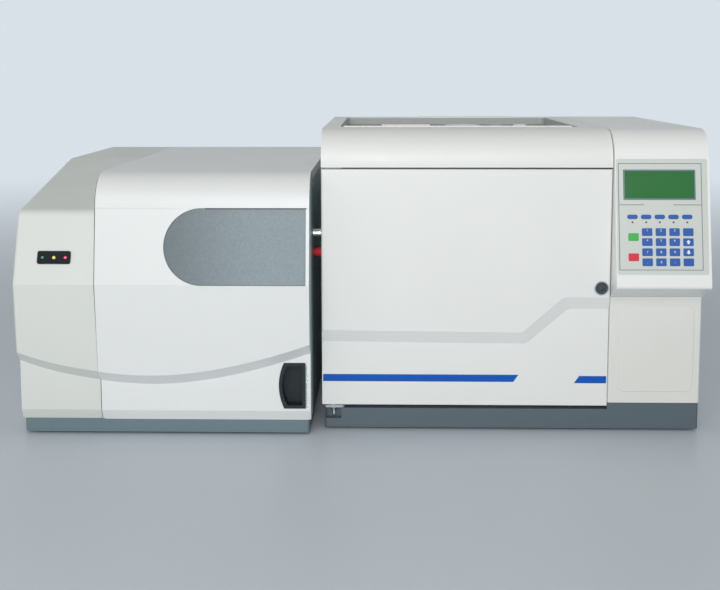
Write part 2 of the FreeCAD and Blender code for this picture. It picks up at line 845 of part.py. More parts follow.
def turbo_pump():
    """Pump body with a top flange, cooling ribs, rotor bore and side outlet."""
    y = pump_y
    body = bar(pump_x, y, pump_low, chamber_low - pump_low, pump_radius, (0, 0, 1), 12)
    flange = bar(pump_x, y, chamber_low - pump_flange, pump_flange, pump_flange_radius, (0, 0, 1), 12)
    ribs = [bar(pump_x, y, pump_low + 44.0 + i * 24.0, 5.0, pump_radius + 6.0, (0, 0, 1), 12)
            for i in range(2)]
    foot = bar(pump_x, y, ms_base_top, pump_low - ms_base_top, 30.0, (0, 0, 1), 8)
    outlet = bar(pump_x, y + pump_radius - 6, foreline_z, outlet_reach - pump_radius + 6, foreline_radius + 2.0,
                 (0, 1, 0), 12)
    solid = join([body, flange, foot, outlet] + ribs)
    hollow = bar(pump_x, y, pump_low + 6.0, chamber_low, pump_bore, (0, 0, 1), 12)
    duct = bar(pump_x, y + 30.0, foreline_z, outlet_reach, foreline_bore, (0, 1, 0), 8)
    axle = bar(pump_x, y, pump_low + 5.0, 35.0, 4.0, (0, 0, 1), 12)
    return join([solid.cut(hollow).cut(duct), axle])


def turbo_rotor():
    """Bladed rotor with several stages on a hub."""
    y = pump_y
    low = pump_low + 12.0 + 24.0
    high = chamber_low - 6.0
    hub = bar(pump_x, y, low - 20.0, high - low + 20.0, rotor_hub, (0, 0, 1), 14)
    hub = hub.cut(bore(pump_x, y, low - 21.0, 26.0, 4.0 + running_fit, (0, 0, 1)))
    parts = [hub]
    pitch = (high - low) / rotor_stages
    for stage in range(rotor_stages):
        z = low + pitch * (stage + 0.5)
        blade = block(pump_x + rotor_hub - 2, pump_x + rotor_radius - 1, y - 6.0, y + 6.0, z - 0.8, z + 0.8)
        blade = turn_about(blade, 38.0 - 8.0 * stage, (pump_x, y, z), (1, 0, 0))
        parts += ring_of(blade, rotor_blades, (pump_x, y, z), (0, 0, 1))
    return join(parts)


def rear_fittings():
    """Pump outlet pipe through the back sheet and three gas unions on the oven's back sheet."""
    start = pump_y + outlet_reach + seat_gap
    pipe = bar(pump_x, start, foreline_z, foreline_end - start, foreline_radius, (0, 1, 0), 16)
    rim = rod(pump_x, foreline_end - 4.0, foreline_z, 4.0, foreline_rim, (0, 1, 0))
    collar = bar(pump_x, start, foreline_z, 8.0, foreline_radius + 4.0, (0, 1, 0), 12)
    hollow = bar(pump_x, start - 1, foreline_z, foreline_end - start + 2, foreline_bore, (0, 1, 0), 12)
    solids = [join([pipe, rim, collar]).cut(hollow)]
    back = gc_back_plane + sheet
    for x in gas_x:
        stem = bar(x, gc_back_plane - 14.0, gas_z, 14.0 + sheet + 30.0, gas_stem, (0, 1, 0))
        hexagon = bar(x, back, gas_z, 8.0, 7.0, (0, 1, 0))
        nut = bar(x, back + 12.0, gas_z, 12.0, 5.6, (0, 1, 0))
        solids.append(join([stem, hexagon, nut]))
    return Part.makeCompound(solids)


def transfer_line():
    """Heated steel tube from the oven through both side walls into the ion source."""
    left = chamber_right - chamber_wall - seat_gap - 13.0
    right = mouth_left + 20.0
    tube = bar(left, beam_y, beam_z, right - left, line_radius, (1, 0, 0), 16)
    tip = bar(right, beam_y, beam_z, 8.0, 2.5, (1, 0, 0), 8)
    flange = bar(chamber_right + seat_gap, beam_y, beam_z, 10.0, line_flange_radius, (1, 0, 0), 16)
    return join([tube, tip, flange])


def heater_sleeve():
    """Red silicone sleeve over the line's heater leads, held in both side walls."""
    left = ms_right - 18.0
    right = gc_left + 22.0
    tube = bar(left, beam_y, sleeve_z, right - left, sleeve_radius, (1, 0, 0), 16)
    ends = [bar(x, beam_y, sleeve_z, 3.0, sleeve_radius + 2.0, (1, 0, 0), 16) for x in (left, right - 3.0)]
    return join([tube] + ends)


# Rear inlets and rocker switches shared by both units

def inlet_cutter(x, z, plane):
    half_w = inlet_width / 2 - 3.0
    half_h = inlet_height / 2 - 3.0
    return block(x - half_w, x + half_w, plane - 5, plane + 10, z - half_h, z + half_h)


def inlet(x, z, plane):
    """Three-pin appliance inlet beside a rocker switch frame, in one black moulding."""
    half_w = inlet_width / 2
    half_h = inlet_height / 2
    face = plane + sheet
    flange = block(x - half_w, x + half_w, face, face + 3.0, z - half_h, z + half_h)
    body = block(x - half_w + 3.5, x + half_w - 3.5, face - 26.0, face, z - half_h + 3.5, z + half_h - 3.5)
    solid = flange.fuse(body)
    socket = plate_y([(x - 19, z - 9), (x + 3, z - 9), (x + 3, z + 5), (x - 1, z + 9), (x - 15, z + 9),
                      (x - 19, z + 5)], [0] * 6, face - 20.0, face + 5.0)
    pins = [block(x - 8 + dx - 1, x - 8 + dx + 1, face - 21.0, face - 2.0, z + dz - 2.4, z + dz + 2.4)
            for dx, dz in ((-6, -2), (6, -2), (0, 3.5))]
    half_well = rocker_radius + 1.0
    well = block(x + 6.0, x + 18.0, face - 14.0, face + 5.0, z - half_well, z + half_well)
    solid = solid.cut(socket).cut(well)
    pivot = bar(x + 5.0, face + 0.5, z, 14.0, rocker_pivot, (1, 0, 0), 8)
    return join([solid, pivot] + pins)


def power_inlets():
    return Part.makeCompound([inlet(ms_inlet_x, ms_inlet_z, ms_back_plane),
                              inlet(gc_inlet_x, gc_inlet_z, gc_back_plane)])


def rocker(x, z, plane):
    """Switch rocker: part of a round bar with two flats, on its pivot."""
    axis_y = plane + sheet + 0.5
    body = bar(x + 6.6, axis_y, z, rocker_width, rocker_radius, (1, 0, 0), 20)
    top = block(x, x + 30, axis_y + 4.2, axis_y + 30, z - 20, z + 20)
    dip = turn_about(top, rocker_tilt, (x, axis_y + 4.2, z), (1, 0, 0))
    rise = turn_about(top, -rocker_tilt, (x, axis_y + 4.2, z), (1, 0, 0))
    hollow = bore(x, axis_y, z, 30.0, rocker_pivot + running_fit, (1, 0, 0), 8)
    return turn_about(body.cut(dip).cut(rise).cut(hollow), -rocker_tilt, (x, axis_y, z), (1, 0, 0))


def ms_power_switch():
    return rocker(ms_inlet_x, ms_inlet_z, ms_back_plane)


def gc_power_switch():
    return rocker(gc_inlet_x, gc_inlet_z, gc_back_plane)


# Gas chromatograph pieces

def gc_base():
    """Slate-grey plinth: low under the door, higher under the control side, notched under the door pin."""
    wall = frame_front + hinge_pocket
    main = block(gc_base_left, gc_right, wall, gc_back_plane, foot_height, gc_base_top)
    under_door = block(gc_base_left, bay_left, gc_base_front, wall + 1, foot_height, gc_step_top)
    under_panel = block(bay_left, gc_right, gc_base_front, wall + 1, foot_height, gc_base_top)
    base = join([main, under_door, under_panel])
    base = round_edges(base, base_corner,
                       lambda e: e.BoundBox.ZLength > 20 and e.BoundBox.YMax < gc_base_front + 1
                       and (e.BoundBox.XMax < 0 or e.BoundBox.XMin > bay_left + 50))
    notch = block(pin_x - pin_notch, pin_x + pin_notch, gc_base_front - 1, pin_y + pin_head + 1.5,
                  pin_tail - 6.0, gc_step_top + 1)
    return base.cut(notch)


def feet():
    """Rubber feet under both plinths."""
    places = []
    for x in (ms_left + 40, ms_right - 40):
        for y in (ms_base_front + 40, ms_back_plane - 40):
            places.append((x, y))
    for x in (gc_base_left + 40, gc_right - 40):
        for y in (frame_front + 40, gc_back_plane - 40):
            places.append((x, y))
    solids = []
    for x, y in places:
        solids.append(bar(x, y, 0, foot_height, foot_radius, (0, 0, 1), 10))
    return Part.makeCompound(solids)


def oven_front_frame():
    """Pressed frame round the oven mouth, set back on the hinge side, with a bulkhead at the right."""
    back = frame_front + frame_sheet
    pocket = frame_front + hinge_pocket
    column_x = gc_base_left + hinge_column
    plate = block(column_x, door_right - 1, frame_front, back, gc_step_top, deck_z)
    column = block(gc_base_left, column_x + frame_sheet, pocket, pocket + frame_sheet, gc_base_top, deck_z)
    jog = block(column_x, column_x + frame_sheet, frame_front, pocket + frame_sheet, gc_base_top, deck_z)
    bulkhead = block(door_right - 1 - sheet, door_right - 1, frame_front + frame_sheet - 1, gc_back_plane,
                     gc_base_top, deck_z)
    frame = join([plate, column, jog, bulkhead])
    mouth = plate_y(rectangle(mouth_left, mouth_right, mouth_low, mouth_high), [mouth_radius] * 4,
                    frame_front - 5, frame_front + 20)
    return frame.cut(mouth)


def hinge_brackets():
    """Two plates that hold the door pins: a leaf on the plinth and an angle under the deck."""
    pocket = frame_front + hinge_pocket
    front = pin_y - bracket_nose
    outline = [(pin_x - bracket_half + 2, pocket), (pin_x + bracket_half, pocket),
               (pin_x + bracket_half, front), (pin_x - bracket_half + 2, front)]
    lower_z = door_low - lower_play - bracket_sheet
    upper_z = door_high + upper_play
    lower = plate_z(outline, [0, 0, 5.0, 5.0], lower_z, lower_z + bracket_sheet)
    leaf = plate_z(outline, [0, 0, 5.0, 5.0], upper_z, upper_z + upper_bracket_sheet)
    tab = block(pin_x - 10, pin_x + bracket_half, pocket - tab_sheet, pocket, upper_z, deck_z - 2.0)
    hole = bore(pin_x, pin_y, 0.0, gc_top, pin_radius + running_fit, (0, 0, 1))
    return Part.makeCompound([lower.cut(hole), leaf.fuse(tab).cut(hole).removeSplitter()])


def hinge_pins():
    """Two door pins with heads, and the two pins of the lid."""
    lower_z = door_low - lower_play - bracket_sheet
    upper_z = door_high + upper_play + upper_bracket_sheet
    lower = bar(pin_x, pin_y, pin_tail, door_low + pin_grip - pin_tail, pin_radius, (0, 0, 1), 16)
    washer = bar(pin_x, pin_y, lower_z + bracket_sheet, lower_play - 0.2, pin_head, (0, 0, 1), 12)
    cone = turned(pin_x, pin_y, lower_z - 5.0, [(0.0, pin_radius + 0.2), (5.0, pin_head)], (0, 0, 1), 12)
    upper_low = door_high - pin_grip
    upper = bar(pin_x, pin_y, upper_low, upper_z + 1.0 - upper_low, pin_radius, (0, 0, 1), 16)
    head = bar(pin_x, pin_y, upper_z, 1.8, pin_head, (0, 0, 1))
    solids = [join([lower, washer, cone]), join([upper, head])]
    for x in lid_hinge_x:
        solids.append(bar(x - 17.0, lid_pivot_y, lid_pivot_z, 34.0, lid_pin_radius, (1, 0, 0), 12))
    return Part.makeCompound(solids)


def band_outline(y, drop, shift):
    """Region of the door front below the stepped band line, in the plane at y."""
    low = door_low - 20.0
    x0 = gc_left - 10.0
    x1 = door_right + 10.0
    points = [
        vec(x0, y, low), vec(x1, y, low), vec(x1, y, band_right_z - drop),
        vec(band_rise_x + shift, y, band_right_z - drop),
        vec(band_bend_x + shift * 0.8, y, band_left_z - 3 - drop),
        vec(x0, y, band_left_z - drop),
    ]
    return rounded_wire(points, [0, 0, 0, 14.0, 14.0, 0])


def oven_door():
    """Door skin: folded panel, proud above a stepped band, with pin bosses and a button guide."""
    solid = block(gc_left, door_right, door_front, door_back, door_low, door_high)
    front_rim = [e for e in solid.Edges if e.BoundBox.YMax < door_front + 0.1]
    solid = solid.makeFillet(door_edge_radius, front_rim)
    facet = Part.makeLoft([band_outline(door_front, 0.0, 0.0),
                           band_outline(door_front + door_step, band_height, band_foot_shift)], True, True)
    ahead = Part.Face(band_outline(door_front - 20.0, 0.0, 0.0)).extrude(vec(0, 20.0, 0))
    step = facet.fuse(ahead)
    solid = solid.cut(step)
    wall = door_skin
    inner = block(gc_left + wall, door_right - wall, door_front + wall, door_back + 5, door_low + wall,
                  door_high - wall)
    deep = facet.fuse(ahead)
    deep.translate(vec(0, wall, wall))
    shell = solid.cut(inner.cut(deep))
    bosses = []
    reach = pin_grip + 4
    for z0, z1 in ((door_low + wall - 1, door_low + reach), (door_high - reach, door_high - wall + 1)):
        bosses.append(block(pin_x - knuckle_half, pin_x + knuckle_half, door_front + door_step + 0.5,
                            door_back, z0, z1))
    guide = bar(button_x, door_front + 1, button_z, door_back - door_front - 3.0, button_radius + 3.0,
                (0, 1, 0), 16)
    shell = join([shell, guide] + bosses)
    tools = [
        bore(pin_x, pin_y, door_low - 5, pin_grip + 7.0, pin_radius + running_fit, (0, 0, 1)),
        bore(pin_x, pin_y, door_high - pin_grip - 2.0, pin_grip + 7.0, pin_radius + running_fit, (0, 0, 1)),
        bore(button_x, door_front - 5, button_z, 40.0, button_radius + running_fit, (0, 1, 0), 24),
    ]
    return cut_all(shell, tools)


def door_inner_panel():
    """Stainless pan behind the door skin with the raised plug that closes the oven mouth."""
    back = door_back + pan_sheet
    pan = plate_y(rectangle(pan_left, pan_right, door_low + pan_margin, door_high - pan_margin), [0] * 4,
                  door_back, back)
    plug = plate_y(rectangle(mouth_left + plug_gap, mouth_right - plug_gap, mouth_low + plug_gap,
                             mouth_high - plug_gap), [14.0] * 4, back - 1.0, back + plug_depth)
    plug = bevel_edges(plug, 4.0, lambda e: e.BoundBox.YMin > back + plug_depth - 0.1)
    hole = bore(button_x, door_back - 5, button_z, 20.0, stem_radius + 1.0, (0, 1, 0))
    return join([pan, plug]).cut(hole)


def door_gasket():
    """Sealing rope between the door pan and the oven frame."""
    back = door_back + pan_sheet
    front = frame_front - seat_gap
    outer = gasket_frame(14.0, 16.0, back, front)
    return outer.cut(gasket_frame(4.0, 12.0, back - 5, front + 5))


def gasket_frame(grow, corner, y0, y1):
    """Plate over the oven mouth with its corners turned in two bends."""
    outline = []
    low = vec(mouth_left - grow, 0, mouth_low - grow)
    high = vec(mouth_right + grow, 0, mouth_high + grow)
    near = corner * 0.27
    for x, z, dx, dz in ((low.x, low.z, 1, 1), (high.x, low.z, -1, 1), (high.x, high.z, -1, -1),
                         (low.x, high.z, 1, -1)):
        bends = [(x, z + dz * corner), (x + dx * near, z + dz * near), (x + dx * corner, z)]
        outline += bends if dx == dz else bends[::-1]
    return plate_y(outline, [0] * len(outline), y0, y1)


def latch_button():
    """Black push button with a dished face and a stem that pushes the door off its magnets."""
    head_back = door_back - 4.0 - button_travel
    length = head_back - door_front + button_proud
    head = turned(button_x, door_front - button_proud, button_z, [
        (0.0, button_radius - 1.2), (1.2, button_radius), (length, button_radius)], (0, 1, 0), 24)
    dish = turned(button_x, door_front - button_proud - 0.1, button_z, [
        (0.0, button_radius - 2.4), (1.1, button_radius - 5.0)], (0, 1, 0), 24)
    stem_end = frame_front - seat_gap - button_travel
    stem = bar(button_x, head_back - 1.0, button_z, stem_end - head_back + 1.0, stem_radius, (0, 1, 0), 10)
    return head.cut(dish).fuse(stem).removeSplitter()


def latch_ring():
    """Bright ring round the push button."""
    ring = turned(button_x, door_front - ring_proud, button_z, [
        (0.0, ring_radius - 0.7), (0.7, ring_radius), (ring_proud, ring_radius)], (0, 1, 0), 24)
    return ring.cut(bar(button_x, door_front - 10, button_z, 20.0, button_radius + seat_gap, (0, 1, 0), 24))


def catch_magnets():
    """Two magnets on the oven frame that hold the door shut."""
    solids = []
    for z in (button_z - 95.0, button_z + 95.0):
        solids.append(block(button_x - 10, button_x + 8, door_back + pan_sheet + seat_gap, frame_front,
                            z - 22, z + 22))
    return Part.makeCompound(solids)


def oven_liner():
    """Bright steel oven box, open at the front, with ports for shaft, air and transfer line."""
    outer = block(mouth_left - sheet, mouth_right + sheet, frame_front + frame_sheet, oven_back + sheet,
                  mouth_low - sheet, mouth_high + sheet)
    room = block(mouth_left, mouth_right, frame_front - 5, oven_back, mouth_low, mouth_high)
    return cut_all(outer.cut(room), oven_ports(seat_gap))


def oven_ports(grow):
    """Holes through the oven's walls."""
    ports = [
        bore(fan_axis_x, oven_back - 10, fan_axis_z, 80.0, shaft_radius + 1.5 + grow, (0, 1, 0)),
        bore(gc_left, beam_y, beam_z, mouth_left - gc_left + 5, line_radius + line_hole_gap + grow, (1, 0, 0)),
    ]
    for z in (exhaust_z, intake_z):
        ports.append(block(fan_axis_x - flap_width / 2 + 4, fan_axis_x + flap_width / 2 - 4, oven_back - 5,
                           oven_back + 80, z - 12, z + 12))
    return ports


def oven_insulation():
    """Mineral wool batts on the oven's floor, roof, sides and back."""
    clear = sheet + seat_gap
    front = frame_front + hinge_pocket + frame_sheet + seat_gap
    back = oven_back + insulation
    left = mouth_left - clear
    right = mouth_right + clear
    low = mouth_low - clear
    high = mouth_high + clear
    roof = mouth_high + insulation
    batts = [
        block(mouth_left - insulation, mouth_right + insulation, front, back, gc_base_top, low),
        block(mouth_left - insulation, mouth_right + insulation, front, back, high, roof),
        block(mouth_left - insulation, left, front, back, low, high),
        block(right, mouth_right + insulation, front, back, low, high),
        block(left, right, oven_back + clear, back, low, high),
    ]
    ports = oven_ports(0.0)
    return Part.makeCompound([batt.cut(ports[0].multiFuse(ports[1:])) for batt in batts])


def oven_fan():
    """Radial impeller on the motor shaft at the back of the oven."""
    back = oven_back - 8.0
    disc = bar(fan_axis_x, back - 2.0, fan_axis_z, 2.0, impeller_radius, (0, 1, 0), 24)
    hub = bar(fan_axis_x, back - impeller_width, fan_axis_z, impeller_width, 12.0, (0, 1, 0), 12)
    shaft_end = oven_back + insulation + shaft_depth
    shaft = bar(fan_axis_x, back - 1, fan_axis_z, shaft_end - back + 1, shaft_radius, (0, 1, 0), 12)
    blade = block(fan_axis_x + 34.0, fan_axis_x + impeller_radius - 1.5, back - impeller_width, back - 1.5,
                  fan_axis_z - 0.8, fan_axis_z + 0.8)
    blade = turn_about(blade, blade_sweep, (fan_axis_x + 34.0, 0, fan_axis_z), (0, 1, 0))
    return join([disc, hub, shaft] + ring_of(blade, impeller_blades, (fan_axis_x, 0, fan_axis_z), (0, 1, 0)))


def fan_motor():
    """Motor behind the oven with its mounting flange and cooling ribs."""
    front = oven_back + insulation
    flange = bar(fan_axis_x, front, fan_axis_z, 4.0, motor_radius + 12.0, (0, 1, 0), 12)
    body = bar(fan_axis_x, front + 4, fan_axis_z, motor_length, motor_radius, (0, 1, 0), 12)
    ribs = [bar(fan_axis_x, front + 20 + i * 30, fan_axis_z, 8.0, motor_radius + 4, (0, 1, 0), 12)
            for i in range(2)]
    solid = join([flange, body] + ribs)
    return solid.cut(bore(fan_axis_x, front - 5, fan_axis_z, 20.0, shaft_radius + running_fit, (0, 1, 0)))


def fan_shroud():
    """Round baffle with slots, stood off the back wall in front of the fan."""
    plate = bar(fan_axis_x, shroud_y, fan_axis_z, shroud_sheet, shroud_radius, (0, 1, 0), 24)
    eye = bar(fan_axis_x, shroud_y - 5, fan_axis_z, 10.0, 34.0, (0, 1, 0), 20)
    slot = block(fan_axis_x + 48, fan_axis_x + shroud_radius - 18, shroud_y - 5, shroud_y + 5,
                 fan_axis_z - 4, fan_axis_z + 4)
    slots = ring_of(slot, 8, (fan_axis_x, 0, fan_axis_z), (0, 1, 0))
    plate = cut_all(plate, [eye] + slots)
    post = bar(fan_axis_x + shroud_radius - 8, shroud_y + shroud_sheet - 0.5, fan_axis_z,
               oven_back - shroud_y - shroud_sheet + 0.5, 4.0, (0, 1, 0), 4)
    posts = [turn_about(post, angle, (fan_axis_x, 0, fan_axis_z), (0, 1, 0)) for angle in (45, 135, 225, 315)]
    return join([plate] + posts)


def heater_coil():
    """Ring of heater wire round the fan on ceramic posts."""
    y = oven_back - 20.0
    ring = wire_ring(heater_radius, heater_wire, fan_axis_x, y, fan_axis_z)
    second = wire_ring(heater_radius - 9.0, heater_wire, fan_axis_x, y, fan_axis_z)
    post = block(fan_axis_x + heater_radius - 15, fan_axis_x + heater_radius + 6, y - 3, oven_back,
                 fan_axis_z - 3, fan_axis_z + 3)
    posts = [turn_about(post, angle, (fan_axis_x, 0, fan_axis_z), (0, 1, 0)) for angle in (0, 90, 180, 270)]
    return join([ring, second] + posts)


def column_cage():
    """Wire cage that carries the coiled column, hung on two hooks from the oven roof."""
    rings = [wire_ring(cage_radius - 8.0, cage_wire, fan_axis_x, column_y + dy, column_z) for dy in (-14.0, 14.0)]
    rail = bar(fan_axis_x + cage_radius - 8.0, column_y - 14.0, column_z, 28.0, cage_wire, (0, 1, 0), 4)
    rails = ring_of(rail, 6, (fan_axis_x, 0, column_z), (0, 1, 0))
    hooks = []
    for x in (fan_axis_x - 30.0, fan_axis_x + 30.0):
        low = column_z + math.sqrt((cage_radius - 8.0) ** 2 - 30.0 ** 2)
        hooks.append(bar(x, column_y + 14.0, low, mouth_high - low, cage_wire, (0, 0, 1)))
    return join(rings + rails + hooks)


def capillary_column():
    """Bundle of fused-silica turns lying on the cage's bars."""
    major = (cage_radius - 8.0 + cage_wire + seat_gap) / math.cos(math.pi / ring_sides) + column_bundle
    return wire_ring(major, column_bundle, fan_axis_x, column_y, column_z)


def gc_left_panel():
    """Painted side sheet with a hole for the transfer line and its sleeve."""
    plate = block(gc_left + 2.0, gc_left + 2.0 + sheet, frame_front + hinge_pocket + 1.0, gc_back_plane,
                  gc_base_top - 8.0, lid_bottom - seam_gap)
    tools = [
        bore(gc_left - 5, beam_y, beam_z, 20.0, line_radius + line_hole_gap, (1, 0, 0)),
        bore(gc_left - 5, beam_y, sleeve_z, 20.0, sleeve_radius + line_hole_gap, (1, 0, 0)),
    ]
    for column in range(3):
        y = -40.0 + column * 80.0
        tools.append(block(gc_left - 5, gc_left + 15, y, y + 56.0, 96.0, 101.0))
    return cut_all(plate, tools)


def gc_right_panel():
    """Painted side sheet of the electronics bay with a louvre field."""
    outer = gc_right - side_sink
    plate = block(outer - sheet, outer, hood_back + seam_gap, gc_back_plane, gc_base_top + seat_gap,
                  hood_skirt - seam_gap)
    tools = []
    for row in range(8):
        z = 110.0 + row * 18.0
        tools.append(block(gc_right - 10, gc_right + 5, 20.0, 180.0, z, z + 5.0))
    return cut_all(plate, tools)


def duct(z):
    """Air duct welded to the back sheet, from the insulation to a flap."""
    half_w = flap_width / 2
    half_h = flap_height / 2
    front = oven_back + insulation + seat_gap
    outer = block(fan_axis_x - half_w, fan_axis_x + half_w, front, gc_back_plane + 0.5, z - half_h, z + half_h)
    return outer.cut(block(fan_axis_x - half_w + sheet, fan_axis_x + half_w - sheet, front - 5,
                           gc_back_plane + 10, z - half_h + sheet, z + half_h - sheet))


def gc_back_panel():
    """Back sheet with two air ducts, hinge ears for the flaps and the lid, vents and cut-outs."""
    face = gc_back_plane + sheet
    right = gc_right - side_sink - sheet - seat_gap
    plate = block(gc_base_left, right, gc_back_plane, face, gc_base_top, deck_z)
    tools = []
    for z in (exhaust_z, intake_z):
        tools.append(block(fan_axis_x - flap_width / 2 + sheet, fan_axis_x + flap_width / 2 - sheet,
                           gc_back_plane - 5, face + 5, z - flap_height / 2 + sheet, z + flap_height / 2 - sheet))
    for x in gas_x:
        tools.append(bar(x, gc_back_plane - 5, gas_z, 20.0, gas_stem + seat_gap, (0, 1, 0)))
    tools.append(inlet_cutter(gc_inlet_x, gc_inlet_z, gc_back_plane))
    tools += slot_row(gc_right - 120.0, gc_right - 30.0, 200.0, 6.0, 22.0, 6, gc_back_plane - 5, gc_back_plane + 5)
    plate = plate.cut(tools[0].multiFuse(tools[1:]))
    parts = [plate]
    for z in (exhaust_z, intake_z):
        parts.append(duct(z))
        pivot_z = z + flap_height / 2 + flap_lap
        for x in (fan_axis_x - flap_width / 2 - flap_lap - 4.6, fan_axis_x + flap_width / 2 + flap_lap + 0.6):
            ear = block(x, x + 4.0, face - 0.5, face + 6.0, pivot_z - 4.0, pivot_z + 4.0)
            hole = bore(x - 5, face + flap_pin + 1.0, pivot_z, 14.0, flap_pin + running_fit, (1, 0, 0), 8)
            parts.append(ear.cut(hole))
    for x in lid_hinge_x:
        for dx in (-16.0, 12.0):
            ear = block(x + dx, x + dx + 4.0, gc_back_plane + 0.5, lid_pivot_y + lid_knuckle,
                        lid_pivot_z - lid_knuckle, lid_pivot_z + lid_knuckle)
            hole = bore(x + dx - 5, lid_pivot_y, lid_pivot_z, 14.0, lid_pin_radius + running_fit, (1, 0, 0))
            parts.append(ear.cut(hole))
    return join(parts)


def air_flap(z):
    """Flap over a duct mouth, hung on its own pin."""
    face = gc_back_plane + sheet
    pivot_z = z + flap_height / 2 + flap_lap
    y = face + 1.0
    plate = block(fan_axis_x - flap_width / 2 - flap_lap, fan_axis_x + flap_width / 2 + flap_lap, y, y + 1.5,
                  z - flap_height / 2 - flap_lap, pivot_z)
    pin = bar(fan_axis_x - flap_width / 2 - flap_lap - 5.0, face + flap_pin + 1.0, pivot_z,
              flap_width + 2 * flap_lap + 10.0, flap_pin, (1, 0, 0), 8)
    rib = block(fan_axis_x - 40.0, fan_axis_x + 40.0, y + 1.0, y + 4.0, z - 2.0, z + 2.0)
    return join([plate, pin, rib])


def exhaust_flap():
    return air_flap(exhaust_z)


def intake_flap():
    return air_flap(intake_z)


def top_cover():
    """Hinged lid: rounded nose, skirt all round, and a framed opening over the injection ports."""
    nose = rectangle(door_front, gc_cover_back, lid_bottom, gc_top)
    outer = prism_x(nose, [0, 0, 4.0, lid_nose_radius], gc_left, door_right)
    wall = cover_wall
    inner = prism_x([(door_front + wall, lid_bottom - 5), (gc_cover_back - wall, lid_bottom - 5),
                     (gc_cover_back - wall, gc_top - wall), (door_front + wall, gc_top - wall)],
                    [0, 0, 0, lid_nose_radius - wall], gc_left + wall, door_right - wall)
    shell = outer.cut(inner)
    opening = plate_z(rectangle(recess_left, recess_right, recess_front, recess_back), [10.0] * 4,
                      gc_top - 20, gc_top + 20)
    shell = shell.cut(opening)
    collar = plate_z(rectangle(recess_left - 2, recess_right + 2, recess_front - 2, recess_back + 2), [12.0] * 4,
                     gc_top - 14.0, gc_top - 1.0)
    collar = collar.cut(opening)
    front_lip = block(recess_left + 6, recess_right - 12, recess_front - lip_width - 1, recess_front - 1,
                      gc_top - 1, gc_top + lip_height)
    front_lip = bevel_edges(front_lip, 1.0, lambda e: e.BoundBox.ZMin > gc_top + lip_height - 0.1)
    back_lip = block(recess_left + 140, recess_right - 60, recess_back + 1, recess_back + 1 + lip_width,
                     gc_top - 1, gc_top + lip_height)
    knuckles = [block(x - 11.0, x + 11.0, gc_cover_back - 1, lid_pivot_y + lid_knuckle, lid_pivot_z - lid_knuckle,
                      lid_pivot_z + 20.0) for x in lid_hinge_x]
    slots = [block(x - 18.0, x + 18.0, gc_cover_back - wall - 1, gc_cover_back + 1, lid_bottom - 5,
                   lid_pivot_z + lid_knuckle + 2.0) for x in lid_hinge_x]
    shell = cut_all(shell, slots)
    lid = join([shell, collar, front_lip, back_lip] + knuckles)
    holes = [bore(x - 20, lid_pivot_y, lid_pivot_z, 40.0, lid_pin_radius + running_fit, (1, 0, 0))
             for x in lid_hinge_x]
    notch = block(door_right - wall - 1, door_right + 1, frame_front - 5, gc_cover_back - wall, lid_bottom - 5,
                  deck_z + 3.0)
    return cut_all(lid, holes + [notch])


def top_deck():
    """Steel deck under the lid, with ports for the injectors and detector."""
    plate = block(gc_base_left, door_right - cover_wall - 1, frame_front, gc_back_plane + sheet,
                  deck_z, deck_z + deck_sheet)
    tools = [
        bar(port_x, port_y, deck_z - 5, 20.0, 8.0, (0, 0, 1), 12),
        bar(cap_x, cap_y, deck_z - 5, 20.0, 14.0, (0, 0, 1), 12),
    ]
    return cut_all(plate, tools)


def injector_cover():
    """Folded cover over the flow lines, with a rounded rim and cooling slots."""
    outline = rectangle(box_left, box_right, box_front, box_back)
    outer = plate_z(outline, [6.0] * 4, deck_z + deck_sheet, box_top)
    outer = bevel_edges(outer, 1.5, lambda e: e.BoundBox.ZMin > box_top - 0.1)
    room = block(box_left + 2, box_right - 2, box_front + 2, box_back - 2, deck_z, box_top - 2)
    slots = [block(box_left + 14, box_right - 14, box_front + 40 + i * 30, box_front + 48 + i * 30,
                   box_top - 10, box_top + 5) for i in range(5)]
    return cut_all(outer.cut(room), slots)


def detector_cap():
    """Round heat cap of the detector with a bevelled top and a vent in its middle."""
    height = cap_top - deck_z - deck_sheet
    body = turned(cap_x, cap_y, deck_z + deck_sheet, [
        (0.0, cap_radius), (height - 3.0, cap_radius), (height, cap_radius - 3.0)], (0, 0, 1), 32)
    return body.cut(bar(cap_x, cap_y, cap_top - 6.0, 10.0, 5.0, (0, 0, 1), 16))


def injection_ports():
    """Two injection ports: hexagon body, round septum nut and needle guide."""
    solids = []
    for x, top in ((port_x, port_top), (port_x - port_pitch, port_top - 8.0)):
        body = bar(x, port_y, deck_z + deck_sheet, 18.0, 14.0, (0, 0, 1))
        nut = bar(x, port_y, deck_z + 20.0, top - deck_z - 20.0, port_radius, (0, 0, 1), 20)
        guide = turned(x, port_y, top - 4.99, [(0.0, 1.5), (5.0, 4.0)], (0, 0, 1), 12)
        solids.append(join([body, nut]).cut(guide))
    return Part.makeCompound(solids)


# Control side

def on_panel(shape):
    """Place a piece made upright (z = distance up the slope from the lower edge) on the leaning panel."""
    copy = shape.copy()
    copy.rotate(vec(0, 0, 0), vec(1, 0, 0), -math.degrees(math.atan(panel_lean)))
    copy.translate(vec(0, panel_edge_y, panel_edge_z))
    return copy


def hood_outline(inset):
    """Side outline (y, z) of the control housing: leaning front, rounded top and a skirt to the back."""
    top = gc_top - inset
    front = panel_edge_y + inset * 1.02
    low = panel_edge_z + inset * 0.7
    nose = front + (top - low) * panel_lean
    under = lower_top + inset
    back = gc_cover_back + (5.0 if inset else 0.0)
    skirt = hood_skirt - (5.0 if inset else 0.0)
    rear = hood_back + (5.0 if inset else 0.0)
    points = [(back, skirt), (back, top), (nose, top), (front, low), (panel_under_y, under), (rear, under),
              (rear, skirt)]
    radii = [0, 0, panel_nose_radius - inset, 5.0, 0, 0, 0]
    return points, radii


